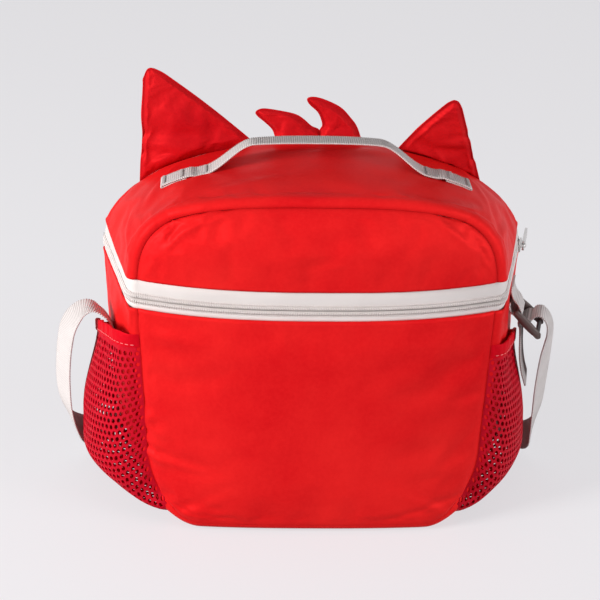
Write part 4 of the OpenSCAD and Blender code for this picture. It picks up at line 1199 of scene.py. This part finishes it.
def netOf(name, side, seed):
    (width, height), laid = netLayout(side)
    p = pocket["pitch"]
    rowStep, corner = p * math.sqrt(3) / 2, p / math.sqrt(3)
    points, faces, known = [], [], {}

    def vertex(u, w):
        u, w = min(max(u, 0), width), min(max(w, 0), height)
        key = (round(u * 1e6), round(w * 1e6))
        if key not in known:
            known[key] = len(points)
            points.append((u, w))
        return known[key]

    # Corners of a cell, or of its hole, round its middle
    def around(u, w, reach, count):
        turns = [math.radians(360 // count * k + 30) for k in range(count)]
        return [vertex(u + reach * math.cos(t), w + reach * math.sin(t)) for t in turns]

    for row in range(-1, int(height / rowStep) + 2):
        for col in range(-1, int(width / p) + 2):
            u, w = p * (col + 0.5 * (row % 2)), rowStep * row
            if not (-0.45 * p < u < width + 0.45 * p and -0.45 * p < w < height + 0.45 * p):
                continue
            hexagon = around(u, w, corner, 6)
            border = pocket["border"]
            if not (border < u < width - border and border < w < height - border):
                if len(set(hexagon)) == 6:
                    faces.append(hexagon)
                continue
            ring = around(u, w, pocket["hole"], 12)
            for k in range(6):
                n = 2 * k
                faces.append([hexagon[k], hexagon[(k + 1) % 6], ring[(n + 2) % 12], ring[n + 1], ring[n]])
    flat = np.array(points)
    s, h = laid(flat)
    placedPoints = pocketPoints(side, s, h)
    pull = np.sin(math.pi * s)
    ripple = ripples(flat[:, 0], pocket["ripple"], 2 * np.sin(h * 5 + seed))
    ripple = ripple * ease((h - 0.55) / 0.4) * pull
    broad, size = pocket["broad"]
    ripple += broad * waves(placedPoints, size, seed) * pull * ease(h / 0.2)
    placedPoints[:, 0] += side * ripple
    piece = newPiece(name, placedPoints, faces)
    edited(piece, weld, outward)
    if (vertexNormals(piece)[:, 0].mean() > 0) != (side > 0):
        edited(piece, ("flip_normals", {}))
    thickened(piece, pocket["net"])
    smooth(piece, 60)
    painted(piece, meshKnit)
    return piece, (round(width, 3), round(height, 3))


def hemOf(name, side, seed):
    s = np.linspace(0, 1, 181)
    t = pocket["hemThick"]
    profile = [(0.0, 0.25), (0.02, 0.0), (0.5, -0.04), (0.98, 0.0), (1.0, 0.3), (1.0, 0.7), (0.97, 1.0),
               (0.75, 1.08), (0.5, 1.1), (0.28, 1.04), (0.18, 0.9), (0.08, 1.0), (0.0, 0.8)]
    flat = lengths(pocketPoints(side, s, np.ones_like(s)))
    pull = np.sin(math.pi * s).clip(0) ** 0.5
    ruffle = ripples(flat, pocket["ruffle"], 1.3 * np.sin(flat * 90 + seed))
    ruffle += ripples(flat, pocket["fineRuffle"], seed)
    lines = []
    for q, o in profile:
        line = pocketPoints(side, s, np.full_like(s, lerp(hemShare(side), 1, q)), t * o * lerp(0.5, 1, pull))
        line[:, 0] += side * ruffle * pull * (0.4 + 0.6 * q)
        line[:, 2] += ripples(flat, pocket["mouthWave"], seed) * pull * q
        lines.append(line)
    rings = np.stack(lines, 1)
    band = painted(ringPiece(name, rings, flat, girth(rings[60])), hemCloth)
    line, _ = evenly(lines[10] + np.array([side * 0.00018, 0, 0]), pocket["stitchPitch"])
    line = line[1:-1]
    out = np.cross(headings(line), np.broadcast_to([0, 0, 1.0], line.shape))
    out *= np.where(out[:, :1] * side > 0, 1, -1)
    stitches = beads(f"{name}Stitches", line, headings(line), out, pocket["stitch"])
    return joined([band, painted(stitches, pinkThread)], name)


for side, label, seed in ((-1, "left", 3), (1, "right", 8)):
    (net, size), hem = netOf(f"{label}Net", side, seed), hemOf(f"{label}Hem", side, seed)
    dressed(net, None, "bag_body", "pocket_mesh", f"{label}_pocket_mesh")
    dressed(hem, None, "bag_body", "hem_elastic", f"{label}_pocket_hem")
    print(f"{label} pocket made, net {size[0] * 1000:.0f} x {size[1] * 1000:.0f} mm")


# Carry handle: webbing turned back under its sewn ends
handle = {"length": 0.200, "seat": 0.028, "rise": 0.012, "more": 0.002, "ramp": 0.032, "near": -0.003,
          "far": 0.017, "clear": 0.0005, "tilt": 0.11, "foldFrom": 0.0832, "foldRound": 0.0006, "turned": 0.0015,
          "tack": 0.071, "tackSize": (0.0024, 0.0008, 0.0008)}


# One edge of the handle, seated on the lid at both ends and raised between them
def handleLine(y, x, up):
    v = (y + halfDepth - bag["topSetback"]) / (bag["depth"] - 2 * bag["topSetback"])
    rise = handle["rise"] + handle["tilt"] * (handle["far"] - y) + handle["more"]
    flatTo = handle["length"] / 2 - handle["seat"]
    ground = lambda t: lidTop(t, v) + handle["clear"] + rise * ease((flatTo - np.abs(t)) / handle["ramp"])
    near = 0.0004
    slope = (ground(x + near) - ground(x - near)) / (2 * near)
    n = unit(np.stack([-slope, np.zeros_like(x), np.ones_like(x)], 1))
    return np.stack([x, np.full_like(x, y), ground(x)], 1) + n * up[:, None]


end, half = handle["length"] / 2, webbing["thickness"] / 2
turn = np.radians(np.linspace(-90, 90, 9))
last, bend = end - handle["turned"], handle["foldRound"]
under = np.linspace(handle["foldFrom"], last, 14)
x = np.concatenate([under, last + bend * np.cos(turn), under[::-1][1:], np.linspace(handle["foldFrom"] - 0.002, 0, 60)])
up = half + np.concatenate([np.zeros(14), bend + bend * np.sin(turn), np.full(13, 2 * bend),
                            2 * bend * ease(1 - np.arange(60) / 3.5)])
x, up = np.concatenate([x, -x[-2::-1]]), np.concatenate([up, up[-2::-1]])
near, far = handleLine(handle["near"], x, up), handleLine(handle["far"], x, up)
carryHandle = painted(ribbedBand("carryHandleBand", (near + far) / 2, unit(far - near)), paleWebbing)
parts = [carryHandle]
for side in (-1, 1):
    for at, lift in ((handle["tack"], 0.0015), (end - 0.003, 0.0028), (end - 0.014, 0.0028)):
        y = np.linspace(handle["near"] + 0.003, handle["far"] - 0.003, 19)
        rows = np.concatenate([handleLine(q, np.array([side * at]), np.array([lift + 0.0002])) for q in y])
        ahead, out = (np.broadcast_to(way, rows.shape) for way in ([side * 1.0, 0.12, -0.3], [side * 0.3, 0, 1.0]))
        parts.append(painted(beads("tack", rows, ahead, out, handle["tackSize"]), tackThread))
carryHandle = joined(parts, "carryHandle")
dressed(carryHandle, None, "lid", "webbing", "carry_handle")
print("handle made")


# Ears and tuft: two skins sewn at the edge round a filling
earParts = {"rows": 46, "columns": 34, "thickness": 0.009, "cap": 0.003, "height": 0.068, "swell": 0.0015,
            "reach": 0.90}
# Padding of the skins, with where and how much painted shade darkens their seam and foot
padding = {"flange": 0.0004, "seam": 0.0016, "seamRound": 0.0007, "footShade": (0.8, 0.035), "pinned": (0.0016, 0.003),
           "edge": (0.0012, 0.004), "pressure": 1.6, "slack": 0.02, "stiffness": 8, "ripple": 0.0003,
           "rippleSize": 0.034, "mapSize": 0.08, "roundFrom": 0.90, "sunk": 0.002, "sideRound": 2.4, "tipRound": 2.2,
           "footRise": 0.10}


# The lid's front seam, into which ears and tuft are sewn
def brim(x):
    y = gussetDepth(0.96, np.abs(x) / halfWidth(0.96), 1, bag["topSetback"])
    return np.stack([x, y, lidTop(x, 0.91) + 0.0006], -1)


# How much of a piece's width is left towards its round tip
def tipNarrow(b):
    start = padding["roundFrom"]
    return 0.04 + 0.96 * np.sqrt(np.maximum(0, 1 - (np.maximum(b - start, 0) / (1 - start)) ** 2))


# Two skins with a sewn edge, each half the thickness away from the sheet between them
def pillow(name, place, form, folds, seed):
    rows, cols = form["rows"], form["columns"]
    a, b = np.meshgrid(clustered(cols, 0.6), clustered(rows, 0.5))
    p = place(a, b)
    body = np.sqrt(np.maximum(0, 1 - np.abs(2 * a - 1) ** padding["sideRound"]))
    body = body * np.sqrt(np.maximum(0, 1 - b ** padding["tipRound"])) * np.sqrt(np.minimum(1, b / padding["footRise"]))
    n = surfaceNormals(p)
    n = n if n[..., 1].mean() < 0 else -n
    edge = seamDistance(p)
    flange = padding["flange"] * ((a > 0) & (a < 1) & (b > 0) & (b < 1))
    start, over = padding["edge"]
    body = body * ease((edge - start) / over)
    lift = (form["thickness"] / 2 * body + flange)[..., None]
    count = p[..., 0].size
    index = np.arange(count).reshape(p.shape[:2])
    inner = np.zeros(p.shape[:2], bool)
    inner[1:-1, 1:-1] = True
    behind = index.copy()
    behind[inner] = count + np.arange(inner.sum())
    points = np.concatenate([(p + n * lift).reshape(-1, 3), (p - n * lift)[inner]])
    faces, uv = [], []
    flat = np.stack([a - 0.5, b], -1) * padding["mapSize"]
    for grid, order in ((index, 1), (behind, -1)):
        for i in range(rows):
            for j in range(cols):
                corners = [(i, j), (i, j + 1), (i + 1, j + 1), (i + 1, j)][::order]
                faces.append([int(grid[c]) for c in corners])
                uv += [tuple(flat[c]) for c in corners]
    piece = newPiece(name, points, faces, uv)
    edited(piece, outward)
    far = np.concatenate([edge.ravel(), edge[inner]])
    level = np.concatenate([b.ravel(), b[inner]])
    # Painted shade: the skins are darker along their sewn seam and at their foot, where they meet the lid
    footShadeStrength, size = padding["footShade"]
    seam = bell(far - padding["seam"], padding["seamRound"]) + footShadeStrength * bell(level, size)
    attribute = piece.data.attributes.new("seam", "FLOAT", "POINT")
    attribute.data.foreach_set("value", seam.clip(0, 1).astype(np.float32))
    pins = pinned(far, padding)
    inflated(piece, pins, padding["pressure"], padding["slack"], form["cap"], stiffness=padding["stiffness"])
    co, n = coordinates(piece), vertexNormals(piece)
    co += n * (padding["ripple"] * waves(co, padding["rippleSize"], seed) * (1 - pins))[:, None]
    setCoordinates(piece, co)
    creased(piece, folds)
    subdivided(piece)
    smooth(piece)
    return painted(piece, shadedEarSatin)


# An ear from the two ends of its sewn foot to its tip
def earPlace(feet, tip):
    way = unit(np.array([np.sign(feet[1] - feet[0]) * earParts["height"], 0, abs(feet[1] - feet[0])]))

    def place(a, b):
        a = 0.5 + (a - 0.5) * tipNarrow(b)
        foot = brim(lerp(*feet, a)) - [0, 0, padding["sunk"]]
        middle = brim(np.array(sum(feet) / 2))
        peak = middle + (np.array(tip) - middle) / earParts["reach"]
        bow = (earParts["swell"] * a * np.sin(math.pi * b))[..., None] * way
        return lerp(foot, peak, earParts["reach"] * b[..., None]) + bow
    return place


leftEar = pillow("leftEar", earPlace((-0.116, -0.037), (-0.109, 0.055, 0.2801)), earParts, [
    [-0.092, 0.050, 0.2360, (1, 0, 0.03), 0.026, 0.0060, 0.0030],
    [-0.104, 0.050, 0.2240, (1, 0, 0.1), 0.018, 0.0040, 0.0020],
    [-0.070, 0.050, 0.232, (1, 0, -0.3), 0.014, 0.0026, 0.0010],
], 101)
rightEar = pillow("rightEar", earPlace((0.112, 0.054), (0.091, 0.031, 0.2681)), earParts, [
    [0.086, 0.045, 0.230, (1, 0, -0.2), 0.020, 0.0050, 0.0024],
    [0.094, 0.043, 0.240, (1, 0, 0.15), 0.012, 0.0032, 0.0013],
    [0.098, 0.045, 0.220, (1, 0, 0.3), 0.012, 0.0026, 0.0012],
], 111)
for piece, label in ((leftEar, "left"), (rightEar, "right")):
    dressed(piece, None, "lid", "ear_fabric", f"{label}_ear", f"{label}_ear_filling")

# Each lobe lies between two edges, from the brim to a round tip. A point is [x in millimetres, share of the
# tuft's height].
tuft = {"thickness": 0.008, "rows": 34, "columns": 22, "cap": 0.0025, "depth": 0.054, "base": 0.232, "height": 0.026}
tuftLobes = [
    ([[-25.5, 0], [-27.7, 0.21], [-32.7, 0.42], [-37.0, 0.56], [-39.6, 0.68]],
     [[5.0, 0], [3.8, 0.24], [-1.6, 0.35], [-6.7, 0.53], [-12.6, 0.67], [-23.4, 0.76], [-33.5, 0.81], [-38.4, 0.76]]),
    ([[2.2, 0], [3.0, 0.22], [4.9, 0.36], [4.1, 0.53], [1.8, 0.72], [-3.4, 0.91], [-5.8, 1.05]],
     [[32.6, 0], [28.8, 0.32], [23.7, 0.60], [17, 0.87], [6.9, 1.06], [0.1, 1.13], [-4.6, 1.12]]),
]


def lobePlace(lobe):
    edges = []
    for edge in lobe:
        foot = brim(np.array(edge[0][0] * mm)) - [0, 0, padding["sunk"]]
        rest = [[x * mm, tuft["depth"], tuft["base"] + tuft["height"] * h] for x, h in edge[1:]]
        edges.append(splined([foot] + rest, 12))

    def place(a, b):
        a = 0.5 + (a - 0.5) * tipNarrow(b)
        return lerp(onLine(edges[0], b), onLine(edges[1], b), a[..., None])
    return place


lobes = [pillow(f"lobe{k}", lobePlace(lobe), tuft, [], 121 + k) for k, lobe in enumerate(tuftLobes)]
hairTuft = joined(lobes, "hairTuft")
dressed(hairTuft, None, "lid", "ear_fabric", "hair_tuft", "hair_tuft_filling")
print("ears and tuft made")


# Anchor loop and buckle, in millimetres
cheek = {"length": 25, "height": 5.8, "width": 3.2, "middle": 9.6, "apart": 24}
loop = {"top": 19, "low": 7, "sewn": 4, "wrapTurns": (45, 0, -45, -90, -135)}


# Where the loop lies flat on the bag's side
def sewnPoint(up):
    return fromSide(0.3 + 0.75 + lock["sideLean"] * up, up)


loopRoute = [sewnPoint(loop["top"]), sewnPoint(loop["top"] - loop["sewn"])]
loopRoute += [fromSide(lock["reach"] * out, loop["top"] * up) for out, up in ((0.52, 0.52), (0.98, 0.31))]
for angle in np.radians(loop["wrapTurns"]):
    loopRoute.append(fromSide(lock["reach"] + lock["wrap"] * math.cos(angle), lock["wrap"] * math.sin(angle)))
loopRoute += [fromSide(2.8, -0.4), sewnPoint(loop["low"] - loop["sewn"]), sewnPoint(loop["low"])]
anchorLoop, _ = webbingAlong("anchorLoop", loopRoute)
dressed(anchorLoop, paleWebbing, "bag_body", "webbing", "strap_anchor_loop")
strapBuckle = castCopy("strap_buckle", "strapBuckle", 0.0009)


pinWay = np.array([math.sin(lock["turn"]), math.cos(lock["turn"]), 0])


# The buckle's cheeks swell to a smooth oval, seen from the side
def cheekOf(name, across):
    turns = np.radians(np.arange(0, 360, 15))
    rings = []
    for depth, share in ((-1, 0.72), (-0.8, 0.9), (-0.35, 1), (0.35, 1), (0.8, 0.9), (1, 0.72)):
        wide = np.sign(np.cos(turns)) * np.abs(np.cos(turns)) ** 0.85
        along = cheek["middle"] + share ** 0.4 * cheek["length"] / 2 * wide
        proud = share * cheek["height"] / 2 * np.sin(turns)
        points = np.array([onLock(a, b)[:3] for a, b in zip(along, proud)])
        rings.append(points + pinWay * (across + depth * cheek["width"] / 2))
    rings = np.array(rings) * mm
    marks = [[mm * k for k in range(count)] for count in (len(rings), len(turns) + 1)]
    return painted(ringPiece(name, rings, *marks), bucklePlastic)


cheeks = [cheekOf(f"cheek{k}", across) for k, across in enumerate((-cheek["apart"] / 2, cheek["apart"] / 2))]
painted(strapBuckle, bucklePlastic)
strapBuckle = joined([strapBuckle, *cheeks], "strapBuckle")
dressed(strapBuckle, None, "bag_body", "buckle_plastic", "strap_buckle")
print("buckle made")


# Floor, world and lights. A lamp is its place, size, power and colour.
studio = {"floorSize": 8.0, "paper": (0.250, 0.2475, 0.255), "floorGlow": 0.755,
          "backdrop": (0.830, 0.820, 0.845), "worldLight": 0.18, "worldTint": (1.0, 0.985, 0.975)}
lamps = {"keyLight": ((-1.60, -0.85, 0.70), 0.7, 43, (1.0, 0.985, 0.97)),
         "fillLight": ((1.55, -0.80, 0.45), 1.0, 20, (0.98, 0.98, 1.0)),
         "topLight": ((0, 0.2, 1.6), 1.2, 1.2, (1, 1, 1))}


# Seen by the camera, or in metal, gloss or glass
def seenDirectly(tree):
    rays = add(tree, "ShaderNodeLightPath").outputs
    both = times(tree, rays["Is Camera Ray"], rays["Is Glossy Ray"], "ADD")
    return times(tree, both, rays["Is Transmission Ray"], "ADD")


def studioFloor():
    bpy.ops.object.select_all(action="DESELECT")
    bpy.ops.mesh.primitive_plane_add(size=studio["floorSize"], location=(0, 0, 0))
    floor = bpy.context.active_object
    floor.name = "studioFloor"
    edited(floor, ("subdivide", {"number_cuts": 8}))
    material, tree, shader = newMaterial("studioPaper")
    shader.inputs["Roughness"].default_value = 0.9
    shader.inputs["Specular IOR Level"].default_value = 0.1
    tone = mixed(tree, noise(tree, placed(tree), 3, 2), studio["paper"], shaded(studio["paper"], 0.99))
    tree.links.new(tone, shader.inputs["Base Color"])
    shader.inputs["Emission Color"].default_value = (*studio["backdrop"], 1)
    tree.links.new(times(tree, seenDirectly(tree), studio["floorGlow"]), shader.inputs["Emission Strength"])
    floor.data.materials.append(material)


def studioWorld():
    world = bpy.data.worlds.new("studio")
    bpy.context.scene.world = world
    world.use_nodes = True
    tree = world.node_tree
    ground = tree.nodes["Background"]
    ground.inputs["Color"].default_value = (*studio["worldTint"], 1)
    ground.inputs["Strength"].default_value = studio["worldLight"]
    seenGround = add(tree, "ShaderNodeBackground", {"Color": (*studio["backdrop"], 1), "Strength": 1.0})
    both = add(tree, "ShaderNodeMixShader")
    tree.links.new(seenDirectly(tree), both.inputs[0])
    tree.links.new(ground.outputs[0], both.inputs[1])
    tree.links.new(seenGround.outputs[0], both.inputs[2])
    tree.links.new(both.outputs[0], tree.nodes["World Output"].inputs["Surface"])


def softLight(name, place, size, power, colour):
    data = bpy.data.lights.new(name, "AREA")
    data.shape, data.size, data.energy, data.color = "DISK", size, power, colour
    light = shown(bpy.data.objects.new(name, data))
    light.location = place
    light.rotation_euler = (Vector(bagCentre) - Vector(place)).to_track_quat("-Z", "Y").to_euler()


studioFloor()
studioWorld()
for name, lamp in lamps.items():
    softLight(name, *lamp)
bpy.context.scene.view_settings.view_transform = "Standard"
print("studio lit")
